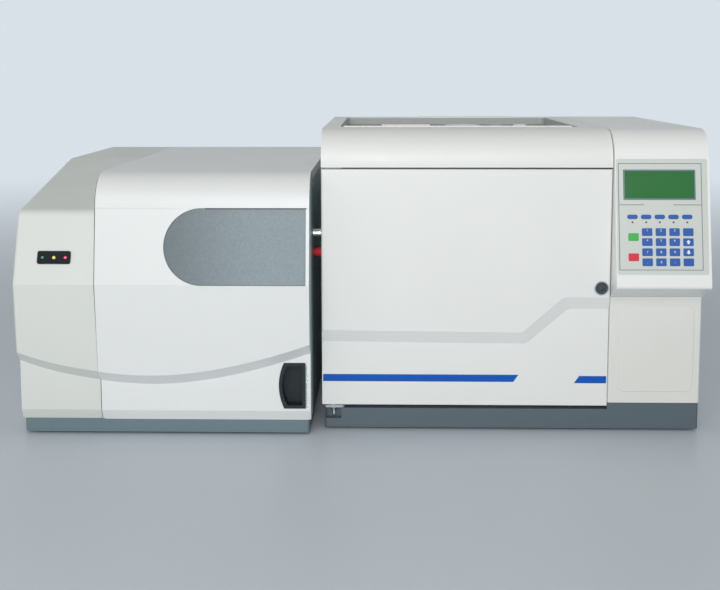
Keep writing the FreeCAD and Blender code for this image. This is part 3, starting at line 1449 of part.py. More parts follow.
def control_housing():
    """Moulded housing with the leaning control panel, its rounded top and a sloping underside."""
    points, radii = hood_outline(0.0)
    outer = prism_x(points, radii, bay_left, gc_right)
    points, radii = hood_outline(cover_wall)
    room = prism_x(points, radii, bay_left + cover_wall, gc_right - cover_wall)
    shell = outer.cut(room)
    window = on_panel(block(display_left - 4, display_right + 4, -10.0, 20.0, display_low - 4, display_high + 4))
    return shell.cut(window)


def panel_film():
    """Printed film over the whole control panel."""
    film = plate_y(rectangle(film_left, film_right, film_low, film_high), [3.0] * 4, -film_thick, 0.0)
    hole = block(display_left - display_border, display_right + display_border, -5.0, 5.0,
                 display_low - display_border, display_high + display_border)
    return on_panel(film.cut(hole))


def display():
    """Backlit character display module behind its window, with a raised border."""
    grow = display_border - seat_gap
    window = block(display_left - grow, display_right + grow, -film_thick - 0.5, 6.0,
                   display_low - grow, display_high + grow)
    sunk = block(display_left, display_right, -5.0, -film_thick + 0.1, display_low, display_high)
    return on_panel(window.cut(sunk))


def key_cap(x, s, width, height, corner):
    """Raised key zone; a corner above zero cuts its four corners off by that length."""
    half_w = width / 2
    half_h = height / 2
    outline = rectangle(x - half_w, x + half_w, s - half_h, s + half_h)
    if corner > 0:
        outline = []
        for dx, dz, upright in ((-1, -1, True), (1, -1, False), (1, 1, True), (-1, 1, False)):
            beside = (x + dx * (half_w - corner), s + dz * half_h)
            above = (x + dx * half_w, s + dz * (half_h - corner))
            outline += [above, beside] if upright else [beside, above]
    return on_panel(plate_y(outline, [0] * len(outline), -film_thick - key_rise, -film_thick))


def keypad():
    """Raised zones of the membrane keypad: a field of keys and a row of oval function keys."""
    solids = []
    for row in range(key_rows):
        for column in range(key_columns):
            solids.append(key_cap(key_first_x + column * key_pitch_x, key_first_s - row * key_pitch_s,
                                  key_width, key_height, 0.0))
    for i in range(oval_count):
        solids.append(key_cap(side_key_x + i * key_pitch_x - 1.0, oval_s, oval_width, oval_height,
                              oval_height * 0.36))
    return Part.makeCompound(solids)


def run_stop_keys():
    """Start and stop keys beside the key field."""
    return Part.makeCompound([key_cap(side_key_x, s, key_width, key_height, 0.0)
                              for s in (run_key_s, stop_key_s)])


def lower_panel():
    """Front sheet below the control panel with a raised rounded field."""
    outline = rectangle(bay_left, gc_right, gc_base_top + seat_gap, lower_top - seat_gap)
    outer = plate_y(outline, [0] * 4, lower_front, hood_back)
    outer = round_edges(outer, 3.0, lambda e: e.BoundBox.YMax < lower_front + 0.1 and e.BoundBox.ZLength > 50)
    room = block(bay_left + 2, gc_right - 2, lower_front + 2, hood_back + 5, gc_base_top + 2.3, lower_top - 2.3)
    raised = plate_y(rectangle(emboss_left, emboss_right, emboss_low, emboss_high), [12.0] * 4,
                     lower_front - emboss_rise, lower_front + 1.0)
    raised = bevel_edges(raised, 1.0, lambda e: e.BoundBox.YMax < lower_front - emboss_rise + 0.05)
    return join([outer.cut(room), raised])


# Electronics and fasteners

def board(x, y0, y1, z0, z1):
    """Upright circuit board in the YZ plane with its larger components."""
    plate = block(x, x + 1.6, y0, y1, z0, z1)
    parts = [plate]
    for i in range(3):
        for j in range(2):
            y = y0 + 20 + i * (y1 - y0 - 60) / 2
            z = z0 + 22 + j * (z1 - z0 - 60) / 2
            parts.append(block(x + 1.5, x + 5.0 + 2.0 * ((i + j) % 3), y, y + 22, z, z + 16))
    for i in range(2):
        parts.append(bar(x + 1.5, y0 + 30 + i * 26, z1 - 14, 14.0, 7.0, (1, 0, 0), 8))
    return join(parts)


def circuit_boards():
    """One board in the left bay of the spectrometer and one behind the control panel."""
    return Part.makeCompound([board(ms_board_x, -ms_board_half, ms_board_half, ms_base_top, ms_top - board_drop),
                              board(gc_board_x, -gc_board_half, gc_board_half, gc_base_top, deck_z - 50.0)])


def power_supplies():
    """Perforated supply boxes on the two plinths."""
    solids = []
    places = (
        (supply_x, supply_x + supply_width, supply_y, supply_y + supply_deep, ms_base_top),
        (bay_left + 43.0, gc_right - 20.0, -60.0, 120.0, gc_base_top),
    )
    for x0, x1, y0, y1, z0 in places:
        body = block(x0, x1, y0, y1, z0, z0 + supply_high)
        slots = [block(x0 + 12, x1 - 12, y0 + 14 + i * 18, y0 + 21 + i * 18, z0 + supply_high - 10.0,
                       z0 + supply_high + 5.0) for i in range(6)]
        solids.append(cut_all(body, slots))
    return Part.makeCompound(solids)


pieces = {
    "ms_base": ms_base,
    "left_cover": left_cover,
    "main_cover": main_cover,
    "access_panel": access_panel,
    "hand_pull": hand_pull,
    "indicator_bezel": indicator_bezel,
    "indicator_lamps": indicator_lamps,
    "ms_side_panel": ms_side_panel,
    "ms_back_panel": ms_back_panel,
    "fan_frame": fan_frame,
    "ms_fan": ms_fan,
    "vacuum_chamber": vacuum_chamber,
    "ion_source": ion_source,
    "quadrupole": quadrupole,
    "ion_detector": ion_detector,
    "turbo_pump": turbo_pump,
    "turbo_rotor": turbo_rotor,
    "rear_fittings": rear_fittings,
    "transfer_line": transfer_line,
    "heater_sleeve": heater_sleeve,
    "power_inlets": power_inlets,
    "ms_power_switch": ms_power_switch,
    "gc_power_switch": gc_power_switch,
    "gc_base": gc_base,
    "feet": feet,
    "oven_front_frame": oven_front_frame,
    "hinge_brackets": hinge_brackets,
    "hinge_pins": hinge_pins,
    "oven_door": oven_door,
    "door_inner_panel": door_inner_panel,
    "door_gasket": door_gasket,
    "latch_button": latch_button,
    "latch_ring": latch_ring,
    "catch_magnets": catch_magnets,
    "oven_liner": oven_liner,
    "oven_insulation": oven_insulation,
    "oven_fan": oven_fan,
    "fan_motor": fan_motor,
    "fan_shroud": fan_shroud,
    "heater_coil": heater_coil,
    "column_cage": column_cage,
    "capillary_column": capillary_column,
    "gc_left_panel": gc_left_panel,
    "gc_right_panel": gc_right_panel,
    "gc_back_panel": gc_back_panel,
    "exhaust_flap": exhaust_flap,
    "intake_flap": intake_flap,
    "top_cover": top_cover,
    "top_deck": top_deck,
    "injector_cover": injector_cover,
    "detector_cap": detector_cap,
    "injection_ports": injection_ports,
    "control_housing": control_housing,
    "panel_film": panel_film,
    "display": display,
    "keypad": keypad,
    "run_stop_keys": run_stop_keys,
    "lower_panel": lower_panel,
    "circuit_boards": circuit_boards,
    "power_supplies": power_supplies,
}

os.makedirs("parts", exist_ok=True)
for name, make in pieces.items():
    save(name, make())
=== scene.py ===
import math
import random

import bmesh
import bpy
from mathutils import Matrix, Vector


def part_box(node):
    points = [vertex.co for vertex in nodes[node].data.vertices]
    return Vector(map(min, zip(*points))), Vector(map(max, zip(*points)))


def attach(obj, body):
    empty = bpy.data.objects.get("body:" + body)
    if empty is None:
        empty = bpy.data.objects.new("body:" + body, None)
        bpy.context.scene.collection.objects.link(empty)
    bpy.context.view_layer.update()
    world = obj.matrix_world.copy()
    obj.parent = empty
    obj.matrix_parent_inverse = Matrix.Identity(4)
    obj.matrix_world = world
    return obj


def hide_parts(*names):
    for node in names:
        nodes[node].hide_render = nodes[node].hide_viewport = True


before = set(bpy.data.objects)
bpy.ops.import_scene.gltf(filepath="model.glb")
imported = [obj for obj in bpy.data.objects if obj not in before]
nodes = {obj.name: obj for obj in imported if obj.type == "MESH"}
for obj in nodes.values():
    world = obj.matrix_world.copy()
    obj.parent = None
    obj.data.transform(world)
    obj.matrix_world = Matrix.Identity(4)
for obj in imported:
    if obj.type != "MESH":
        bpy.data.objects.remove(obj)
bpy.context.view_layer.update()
CHASSIS = "chassis"

# Pale bench and backdrop
# One broad matt sheet under the instruments fades with distance into a surround of the same pale tone.
# The light falls mostly from the front, so the tops of the covers stay a little darker.

scene = bpy.context.scene
scene.view_settings.view_transform = "Standard"

bench_colour = (0.58, 0.63, 0.68, 1)
backdrop_colour = (0.69, 0.75, 0.81, 1)
bench_reach = 9.0
fade_start = 0.7
fade_end = 4.5

bench_material = bpy.data.materials.new("pale_bench")
bench_material.use_nodes = True
bench_tree = bench_material.node_tree
bench_shader = bench_tree.nodes["Principled BSDF"]
bench_shader.inputs["Base Color"].default_value = bench_colour
bench_shader.inputs["Roughness"].default_value = 0.42
far_place = bench_tree.nodes.new("ShaderNodeTexCoord")
far_length = bench_tree.nodes.new("ShaderNodeVectorMath")
far_length.operation = "LENGTH"
far_share = bench_tree.nodes.new("ShaderNodeMapRange")
far_share.interpolation_type = "SMOOTHSTEP"
far_share.inputs["From Min"].default_value = fade_start
far_share.inputs["From Max"].default_value = fade_end
far_glow = bench_tree.nodes.new("ShaderNodeEmission")
far_glow.inputs["Color"].default_value = backdrop_colour
far_mix = bench_tree.nodes.new("ShaderNodeMixShader")
bench_tree.links.new(far_place.outputs["Object"], far_length.inputs[0])
bench_tree.links.new(far_length.outputs["Value"], far_share.inputs["Value"])
bench_tree.links.new(far_share.outputs["Result"], far_mix.inputs[0])
bench_tree.links.new(bench_shader.outputs["BSDF"], far_mix.inputs[1])
bench_tree.links.new(far_glow.outputs["Emission"], far_mix.inputs[2])
bench_tree.links.new(far_mix.outputs[0], bench_tree.nodes["Material Output"].inputs["Surface"])

bench_mesh = bpy.data.meshes.new("bench")
bench_corners = [(-bench_reach, -bench_reach, 0), (bench_reach, -bench_reach, 0),
                 (bench_reach, bench_reach, 0), (-bench_reach, bench_reach, 0)]
bench_mesh.from_pydata(bench_corners, [], [(0, 1, 2, 3)])
bench = bpy.data.objects.new("bench", bench_mesh)
scene.collection.objects.link(bench)
bench_mesh.materials.append(bench_material)

world = bpy.data.worlds.new("surround")
scene.world = world
world.use_nodes = True
world_nodes = world.node_tree.nodes
world_links = world.node_tree.links
world_nodes.clear()
soft_light = world_nodes.new("ShaderNodeBackground")
soft_light.inputs["Color"].default_value = (1.0, 1.0, 0.98, 1)
soft_light.inputs["Strength"].default_value = 0.29
pale_view = world_nodes.new("ShaderNodeBackground")
pale_view.inputs["Color"].default_value = backdrop_colour
pale_view.inputs["Strength"].default_value = 1.0
ray = world_nodes.new("ShaderNodeLightPath")
seen = world_nodes.new("ShaderNodeMath")
seen.operation = "MAXIMUM"
seen_too = world_nodes.new("ShaderNodeMath")
seen_too.operation = "MAXIMUM"
pick = world_nodes.new("ShaderNodeMixShader")
world_out = world_nodes.new("ShaderNodeOutputWorld")
world_links.new(ray.outputs["Is Camera Ray"], seen.inputs[0])
world_links.new(ray.outputs["Is Glossy Ray"], seen.inputs[1])
world_links.new(seen.outputs[0], seen_too.inputs[0])
world_links.new(ray.outputs["Is Transmission Ray"], seen_too.inputs[1])
world_links.new(seen_too.outputs[0], pick.inputs[0])
world_links.new(soft_light.outputs[0], pick.inputs[1])
world_links.new(pale_view.outputs[0], pick.inputs[2])
world_links.new(pick.outputs[0], world_out.inputs["Surface"])


def soft_box(name, place, aim, size, power):
    """A rectangular studio light at place, turned towards aim."""
    lamp = bpy.data.lights.new(name, "AREA")
    lamp.shape = "RECTANGLE"
    lamp.size, lamp.size_y = size
    lamp.energy = power
    light = bpy.data.objects.new(name, lamp)
    light.location = place
    light.rotation_euler = (Vector(aim) - Vector(place)).to_track_quat("-Z", "Y").to_euler()
    scene.collection.objects.link(light)


soft_box("front_light", place=(-0.45, -3.4, 1.75), aim=(0.0, -0.2, 0.25), size=(3.0, 2.0), power=47.0)
soft_box("near_light", place=(-0.06, -2.6, 0.80), aim=(-0.07, -0.2, 0.25), size=(0.4, 0.4), power=13.0)
soft_box("left_light", place=(-2.6, -1.6, 0.7), aim=(0.3, -0.2, 0.25), size=(1.2, 1.0), power=5.0)
soft_box("right_light", place=(2.6, -2.2, 1.6), aim=(0.2, -0.1, 0.25), size=(1.6, 1.6), power=3.0)
soft_box("back_left_light", place=(-3.0, 2.2, 1.0), aim=(-0.2, 0.3, 0.2), size=(1.6, 1.2), power=6.0)
soft_box("back_right_light", place=(3.2, 2.2, 1.0), aim=(0.2, 0.2, 0.2), size=(1.6, 1.2), power=5.0)

# The camera stands a little right of the middle and looks slightly down at both fronts.
# Its angles are in radians. The shift sets the instruments below the middle of the picture.
eye = Vector((0.0325, -1.8682, 0.5621))
camera_turn = 0.0212
camera_dip = 0.1009
camera_roll = 0.0014
level_right = Vector((math.cos(camera_turn), math.sin(camera_turn), 0))
level_ahead = Vector((-math.sin(camera_turn), math.cos(camera_turn), 0))
straight_up = Vector((0, 0, 1))
ahead = level_ahead * math.cos(camera_dip) - straight_up * math.sin(camera_dip)
upward = level_ahead * math.sin(camera_dip) + straight_up * math.cos(camera_dip)
right = level_right * math.cos(camera_roll) - upward * math.sin(camera_roll)
above = level_right * math.sin(camera_roll) + upward * math.cos(camera_roll)
camera_data = bpy.data.cameras.new("view")
camera_data.sensor_width = 36.0
camera_data.lens = 52.56
camera_data.shift_y = -0.16
camera = bpy.data.objects.new("view", camera_data)
camera.matrix_world = Matrix.Translation(eye) @ Matrix((right, above, -ahead)).transposed().to_4x4()
scene.collection.objects.link(camera)
scene.camera = camera


# Plinths and feet
# Both instruments stand on folded steel trays with a slate-grey powder coat, on short rubber feet.
# The coat has a fine orange-peel grain and dulls slightly where it has been wiped.

def new_group(name, inputs, outputs):
    """An empty shader group; inputs and outputs map socket names to their kinds."""
    kinds = {"colour": "NodeSocketColor", "value": "NodeSocketFloat", "vector": "NodeSocketVector"}
    group = bpy.data.node_groups.new(name, "ShaderNodeTree")
    for socket, kind in inputs.items():
        group.interface.new_socket(name=socket, in_out="INPUT", socket_type=kinds[kind])
    for socket, kind in outputs.items():
        group.interface.new_socket(name=socket, in_out="OUTPUT", socket_type=kinds[kind])
    return group, group.nodes.new("NodeGroupInput"), group.nodes.new("NodeGroupOutput")


def noise_at(group, scale, detail, vector):
    """Noise of a fixed scale driven by a vector output."""
    noise = group.nodes.new("ShaderNodeTexNoise")
    noise.inputs["Scale"].default_value = scale
    noise.inputs["Detail"].default_value = detail
    group.links.new(vector, noise.inputs["Vector"])
    return noise.outputs["Fac"]


def remap(group, value, low, high):
    """A value from 0..1 spread over low..high."""
    node = group.nodes.new("ShaderNodeMapRange")
    node.inputs["To Min"].default_value = low
    node.inputs["To Max"].default_value = high
    group.links.new(value, node.inputs["Value"])
    return node.outputs["Result"]


def combine(group, operation, first, second):
    """Arithmetic between two outputs, or an output and a number."""
    node = group.nodes.new("ShaderNodeMath")
    node.operation = operation
    group.links.new(first, node.inputs[0])
    if isinstance(second, (int, float)):
        node.inputs[1].default_value = second
    else:
        group.links.new(second, node.inputs[1])
    return node.outputs[0]


def tinted(group, colour, factor):
    """A colour made lighter or darker by a factor around one."""
    node = group.nodes.new("ShaderNodeMix")
    node.data_type = "RGBA"
    node.blend_type = "MULTIPLY"
    node.inputs["Factor"].default_value = 1.0
    group.links.new(colour, node.inputs["A"])
    group.links.new(factor, node.inputs["B"])
    return node.outputs["Result"]


SKIN_OUTPUTS = {"Color": "colour", "Roughness": "value", "Height": "value"}


def paint_skin():
    """Sprayed coat: cloudy shade, orange-peel grain and wiped, duller patches."""
    group, given, put = new_group(
        "paint_skin", {"Colour": "colour", "Cloud": "value", "Grain": "value", "Gloss": "value"},
        SKIN_OUTPUTS)
    place = group.nodes.new("ShaderNodeTexCoord").outputs["Object"]
    cloud = remap(group, noise_at(group, 7.0, 4.0, place), -1.0, 1.0)
    speck = remap(group, noise_at(group, 420.0, 2.0, place), -0.35, 0.35)
    shade = combine(group, "MULTIPLY", combine(group, "ADD", cloud, speck), given.outputs["Cloud"])
    shade = combine(group, "ADD", shade, 1.0)
    group.links.new(tinted(group, given.outputs["Colour"], shade), put.inputs["Color"])
    wiped = remap(group, noise_at(group, 18.0, 6.0, place), -0.12, 0.12)
    group.links.new(combine(group, "ADD", wiped, given.outputs["Gloss"]), put.inputs["Roughness"])
    peel = noise_at(group, 260.0, 3.0, place)
    group.links.new(combine(group, "MULTIPLY", peel, given.outputs["Grain"]), put.inputs["Height"])
    return group


PAINT_SKIN = paint_skin()
RELIEF_DEPTH = 0.0004


def finish(name, group, settings, bump, coat=0.0, metal=0.0, specular=0.5):
    """Material whose colour, roughness and bump come from one surface group."""
    material = bpy.data.materials.new(name)
    material.use_nodes = True
    tree = material.node_tree
    shader = tree.nodes["Principled BSDF"]
    shader.inputs["Metallic"].default_value = metal
    shader.inputs["Coat Weight"].default_value = coat
    shader.inputs["Coat Roughness"].default_value = 0.15
    shader.inputs["Specular IOR Level"].default_value = specular
    skin = tree.nodes.new("ShaderNodeGroup")
    skin.node_tree = group
    for socket, value in settings.items():
        skin.inputs[socket].default_value = value
    relief = tree.nodes.new("ShaderNodeBump")
    relief.inputs["Strength"].default_value = bump
    relief.inputs["Distance"].default_value = RELIEF_DEPTH
    tree.links.new(skin.outputs["Color"], shader.inputs["Base Color"])
    tree.links.new(skin.outputs["Roughness"], shader.inputs["Roughness"])
    tree.links.new(skin.outputs["Height"], relief.inputs["Height"])
    tree.links.new(relief.outputs["Normal"], shader.inputs["Normal"])
    return material


def shade_of(red, green, blue):
    """Linear colour from a screen colour given as 0 to 255."""
    def straight(value):
        value /= 255.0
        return value / 12.92 if value <= 0.04045 else ((value + 0.055) / 1.055) ** 2.4
    return (straight(red), straight(green), straight(blue), 1.0)


def paint_finish(name, screen_colour, cloud, grain, gloss, bump, coat=0.0, specular=0.5):
    """Painted, printed or moulded surface; a higher gloss value is rougher."""
    settings = {"Colour": shade_of(*screen_colour), "Cloud": cloud, "Grain": grain, "Gloss": gloss}
    return finish(name, PAINT_SKIN, settings, bump, coat=coat, specular=specular)


def dress(material, *names):
    """Gives the named solid pieces one material."""
    for name in names:
        mesh_object = nodes[name]
        if not mesh_object.material_slots:
            mesh_object.data.materials.append(material)
        for slot in mesh_object.material_slots:
            slot.material = material


slate_coat = paint_finish("slate_coat", (104, 124, 131), cloud=0.05, grain=1.0, gloss=0.42, bump=0.35)
graphite_coat = paint_finish("graphite_coat", (86, 99, 106), cloud=0.06, grain=1.0, gloss=0.45, bump=0.35)
foot_rubber = paint_finish("foot_rubber", (30, 30, 32), cloud=0.15, grain=1.0, gloss=0.75, bump=0.6)
dress(slate_coat, "ms_base")
dress(graphite_coat, "gc_base")
dress(foot_rubber, "feet")


# Spectrometer covers
# Two moulded covers in a warm off-white coat: the wide one wraps over the rounded nose, the narrow one
# slopes at its top. Each has a turned-in lip along its foot, which carries the bevel down to the plinth.

cover_paint = paint_finish("cover_paint", (228, 230, 228), cloud=0.018, grain=0.7, gloss=0.40, bump=0.12)
# The narrow cover takes a darker copy of the same coat, as painted shade.
cover_paint_shaded = paint_finish("cover_paint_shaded", (217, 220, 215), cloud=0.02, grain=0.7, gloss=0.45,
                                bump=0.12)
dress(cover_paint, "main_cover")
dress(cover_paint_shaded, "left_cover")

lip_front = -0.2837
lip_top = 0.0340
lip_foot = 0.0246
lip_profile = [(0.0031, lip_top), (0.0070, 0.0252), (0.0072, lip_foot), (0.0080, lip_foot), (0.0095, 0.0252),
               (0.0056, lip_top)]
left_lip_set_back = 0.002


def band_between(mesh, first, second):
    """Faces that join two equal loops of corners."""
    for k in range(len(first)):
        after = (k + 1) % len(first)
        mesh.faces.new((first[k], first[after], second[after], second[k]))


def loft(mesh, loops):
    """Closed skin through a row of equal loops of corners, with a face over each end."""
    mesh.faces.new(loops[0][::-1])
    mesh.faces.new(loops[-1])
    for first, second in zip(loops, loops[1:]):
        band_between(mesh, first, second)


def mesh_piece(name, mesh, material, body, place=Matrix.Identity(4)):
    """Turns finished mesh work into one piece that rides a body."""
    bmesh.ops.recalc_face_normals(mesh, faces=mesh.faces)
    data = bpy.data.meshes.new(name)
    mesh.to_mesh(data)
    mesh.free()
    data.materials.append(material)
    piece = bpy.data.objects.new(name, data)
    piece.matrix_world = place
    scene.collection.objects.link(piece)
    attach(piece, body)
    return piece


def folded_lip(name, left, right, set_back, material):
    """Turned-in foot of a cover between two places along X."""
    mesh = bmesh.new()
    loft(mesh, [[mesh.verts.new((x, lip_front + set_back + y, z)) for y, z in lip_profile]
                for x in (left, right)])
    mesh_piece(name, mesh, material, CHASSIS)


folded_lip("left_cover_lip", -0.5268, -0.4077, left_lip_set_back, cover_paint_shaded)
folded_lip("main_cover_lip", -0.4003, -0.0812, 0.0, cover_paint)


# Access panel
# A D-shaped steel panel with a hammered, two-tone grey coat, clipped flush into the front cover.
# Painted shade and light make the coat darker towards the round end and lighter towards the straight one.

def hammered_skin():
    """Speckled coat of fine dark and light grains; painted shade and light darken it along the panel towards
    the round end.
    """
    group, given, put = new_group(
        "hammered_skin", {"Colour": "colour", "Contrast": "value", "Gloss": "value"}, SKIN_OUTPUTS)
    place = group.nodes.new("ShaderNodeTexCoord").outputs["Object"]
    grain = remap(group, noise_at(group, 640.0, 3.0, place), -1.0, 1.0)
    patch = remap(group, noise_at(group, 150.0, 3.0, place), -0.35, 0.35)
    shade = combine(group, "MULTIPLY", combine(group, "ADD", grain, patch), given.outputs["Contrast"])
    split = group.nodes.new("ShaderNodeSeparateXYZ")
    group.links.new(place, split.inputs[0])
    # Painted shade and light: the colour is scaled from darker at the round end to lighter at the straight
    # end.
    painted_light_sweep = group.nodes.new("ShaderNodeMapRange")
    painted_light_sweep.interpolation_type = "SMOOTHSTEP"
    for socket, value in (("From Min", -0.33), ("From Max", -0.14), ("To Min", 0.68), ("To Max", 1.16)):
        painted_light_sweep.inputs[socket].default_value = value
    group.links.new(split.outputs["X"], painted_light_sweep.inputs["Value"])
    shade = combine(group, "MULTIPLY", combine(group, "ADD", shade, 1.0), painted_light_sweep.outputs["Result"])
    group.links.new(tinted(group, given.outputs["Colour"], shade), put.inputs["Color"])
    dull = combine(group, "MULTIPLY", grain, 0.15)
    group.links.new(combine(group, "ADD", dull, given.outputs["Gloss"]), put.inputs["Roughness"])
    group.links.new(grain, put.inputs["Height"])
    return group


hammered_settings = {"Colour": shade_of(131, 143, 148), "Contrast": 0.30, "Gloss": 0.50}
hammered_coat = finish("hammered_coat", hammered_skin(), hammered_settings, bump=0.3, specular=0.3)
dress(hammered_coat, "access_panel")


# Hand pull, shielding strip and seam
# A black moulded cup lets the fingers pull the cover. Beside it a knitted wire strip earths the cover's edge,
# and a thin dark cord in the seam between the two covers stands in for the shadow in that gap, as painted
# shade.

black_mould = paint_finish("black_mould", (28, 39, 42), cloud=0.10, grain=1.0, gloss=0.50, bump=0.4,
                           specular=0.35)
dress(black_mould, "hand_pull", "fan_frame", "ms_fan", "power_inlets")


def brushed_skin():
    """Metal with fine scratches along one direction and slow tonal change."""
    group, given, put = new_group(
        "brushed_skin", {"Colour": "colour", "Stretch": "vector", "Scratch": "value", "Gloss": "value"},
        SKIN_OUTPUTS)
    place = group.nodes.new("ShaderNodeTexCoord").outputs["Object"]
    pulled = group.nodes.new("ShaderNodeVectorMath")
    pulled.operation = "MULTIPLY"
    group.links.new(place, pulled.inputs[0])
    group.links.new(given.outputs["Stretch"], pulled.inputs[1])
    lines = remap(group, noise_at(group, 1.0, 5.0, pulled.outputs[0]), -1.0, 1.0)
    cloud = remap(group, noise_at(group, 14.0, 3.0, place), -0.6, 0.6)
    shade = combine(group, "MULTIPLY", combine(group, "ADD", lines, cloud), given.outputs["Scratch"])
    shade = combine(group, "ADD", shade, 1.0)
    group.links.new(tinted(group, given.outputs["Colour"], shade), put.inputs["Color"])
    dull = combine(group, "MULTIPLY", lines, 0.12)
    group.links.new(combine(group, "ADD", dull, given.outputs["Gloss"]), put.inputs["Roughness"])
    group.links.new(lines, put.inputs["Height"])
    return group


BRUSHED_SKIN = brushed_skin()


def metal_finish(name, screen_colour, stretch, scratch, gloss, bump=0.2):
    """Bare or plated metal, brushed along the axis whose stretch value is smallest."""
    settings = {"Colour": shade_of(*screen_colour), "Stretch": stretch, "Scratch": scratch, "Gloss": gloss}
    return finish(name, BRUSHED_SKIN, settings, bump, metal=1.0)


tinned_wire = metal_finish("tinned_wire", (205, 212, 216), stretch=(900, 900, 900), scratch=0.25, gloss=0.25)

strip_left = -0.0854
strip_right = -0.0824
strip_low = 0.046
strip_high = 0.116
strip_front = -0.2840
knit_strands = 3
knit_loops = 17
knit_steps = 144
knit_swing = 0.45
knit_lift = 0.0004
knit_wire_radius = 0.00032


def wire_curve(name, runs, radius, material, body):
    """One curve object of several open runs of round wire."""
    curve = bpy.data.curves.new(name, "CURVE")
    curve.dimensions = "3D"
    curve.bevel_depth = radius
    curve.bevel_resolution = 1
    for points in runs:
        spline = curve.splines.new("POLY")
        spline.points.add(len(points) - 1)
        for spot, point in zip(spline.points, points):
            spot.co = (*point, 1.0)
    wire = bpy.data.objects.new(name, curve)
    scene.collection.objects.link(wire)
    curve.materials.append(material)
    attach(wire, body)
    return wire


knit_runs = []
for strand in range(knit_strands):
    points = []
    for step in range(knit_steps + 1):
        share = step / knit_steps
        swing_angle = share * 2 * math.pi * knit_loops + strand * 2 * math.pi / knit_strands
        across = 0.5 + knit_swing * math.sin(swing_angle)
        points.append((strip_left + (strip_right - strip_left) * across,
                       strip_front - knit_lift * math.cos(swing_angle),
                       strip_low + (strip_high - strip_low) * share))
    knit_runs.append(points)
wire_curve("shielding_strip", knit_runs, knit_wire_radius, tinned_wire, CHASSIS)

# The dark cord is painted shade for the seam's shadow; it runs up the fronts' profile and over the nose.
seam_shadow_cord = paint_finish("seam_shadow_cord", (78, 86, 86), cloud=0.05, grain=1.0, gloss=0.7, bump=0.3)
seam_x = -0.4042
seam_radius = 0.0007
nose_y = -0.2404
nose_z = 0.3590
seam_nose_radius = 0.0500
seam_run = [(seam_x, y, z) for y, z in ((-0.2758, 0.0262), (-0.2824, 0.0412), (-0.2824, 0.1060),
                                        (-0.2990, 0.1250), (-0.3086, 0.2440), (-0.2920, 0.3570))]
seam_steps = 7
for step in range(seam_steps + 1):
    lift_angle = math.radians(190 - step * 100 / seam_steps)
    seam_run.append((seam_x, nose_y + seam_nose_radius * math.cos(lift_angle),
                     nose_z + seam_nose_radius * math.sin(lift_angle)))
wire_curve("seam_shadow_cord", [seam_run], seam_radius, seam_shadow_cord, CHASSIS)


# Indicator lamps
# A glossy black lens plate on the left cover carries a green, an amber and a red lamp.
# Each lamp is a small moulded dome pushed through the plate, which glows a little.

gloss_black = paint_finish("gloss_black", (9, 21, 26), cloud=0.1, grain=0.3, gloss=0.35, bump=0.1,
                           specular=0.12)
dress(gloss_black, "indicator_bezel")


def middle_of(name):
    """Centre of a solid piece's box."""
    low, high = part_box(name)
    return (low + high) / 2


def lamp_material(name, screen_colour, glow):
    """Coloured lens that glows a little."""
    material = paint_finish(name, screen_colour, cloud=0.1, grain=0.4, gloss=0.2, bump=0.1, coat=0.5)
    shader = material.node_tree.nodes["Principled BSDF"]
    shader.inputs["Emission Color"].default_value = shade_of(*screen_colour)
    shader.inputs["Emission Strength"].default_value = glow
    return material


def ring_of(mesh, radius, height, corners):
    """Corners of one ring about the local Z axis."""
    angles = [2 * math.pi * k / corners for k in range(corners)]
    return [mesh.verts.new((radius * math.cos(angle), radius * math.sin(angle), height)) for angle in angles]


def turned_piece(name, profile, place, material, body):
    """Smooth turned form from (radius, height) stations about the local Z axis."""
    mesh = bmesh.new()
    loft(mesh, [ring_of(mesh, radius, height, 28) for radius, height in profile])
    piece = mesh_piece(name, mesh, material, body, place)
    for face in piece.data.polygons:
        face.use_smooth = len(face.vertices) == 4
    return piece


def dome_profile(radius, stations):
    """Stations given as shares of one radius."""
    return [(radius * share, height) for share, height in stations]


lamp_pitch = 0.0175
lamp_lean = -math.atan2(0.038, 0.108)
lamp_sunk = 0.0046
lamp_dome = dome_profile(0.0025, [(1.0, 0.0), (1.0, 0.0078), (0.93, 0.0084), (0.75, 0.0088), (0.45, 0.00905),
                                  (0.12, 0.0091)])
lamp_middle = middle_of("indicator_lamps")
for name, shift, screen_colour, glow in (("ready_lamp", -1, (58, 128, 96), 0.05),
                                         ("warning_lamp", 0, (235, 205, 90), 0.30),
                                         ("power_lamp", 1, (235, 55, 95), 0.40)):
    stand = (Matrix.Translation(lamp_middle + Vector((shift * lamp_pitch, 0, 0)))
             @ Matrix.Rotation(lamp_lean + math.radians(90), 4, "X") @ Matrix.Translation((0, 0, -lamp_sunk)))
    lens = turned_piece(name, lamp_dome, stand, lamp_material(name + "_lens", screen_colour, glow), CHASSIS)
    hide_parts("indicator_lamps")


# Spectrometer side and back
# The side towards the oven is a dark painted sheet held by small bright screws, and the back is zinc-plated.
# The front cover's edge on that side is closed by a slate-painted return sheet that follows its profile.

# The side sheet's paint is set far lighter than its own dark coat, as painted light for a face the oven keeps
# in shade.
night_coat = paint_finish("night_coat", (165, 186, 190), cloud=0.08, grain=1.0, gloss=0.38, bump=0.3)
zinc_sheet = metal_finish("zinc_sheet", (168, 172, 174), stretch=(60, 60, 6), scratch=0.12, gloss=0.46)
dress(night_coat, "ms_side_panel")
dress(zinc_sheet, "ms_back_panel", "oven_front_frame", "hinge_brackets", "gc_back_panel", "exhaust_flap",
      "intake_flap", "power_supplies")
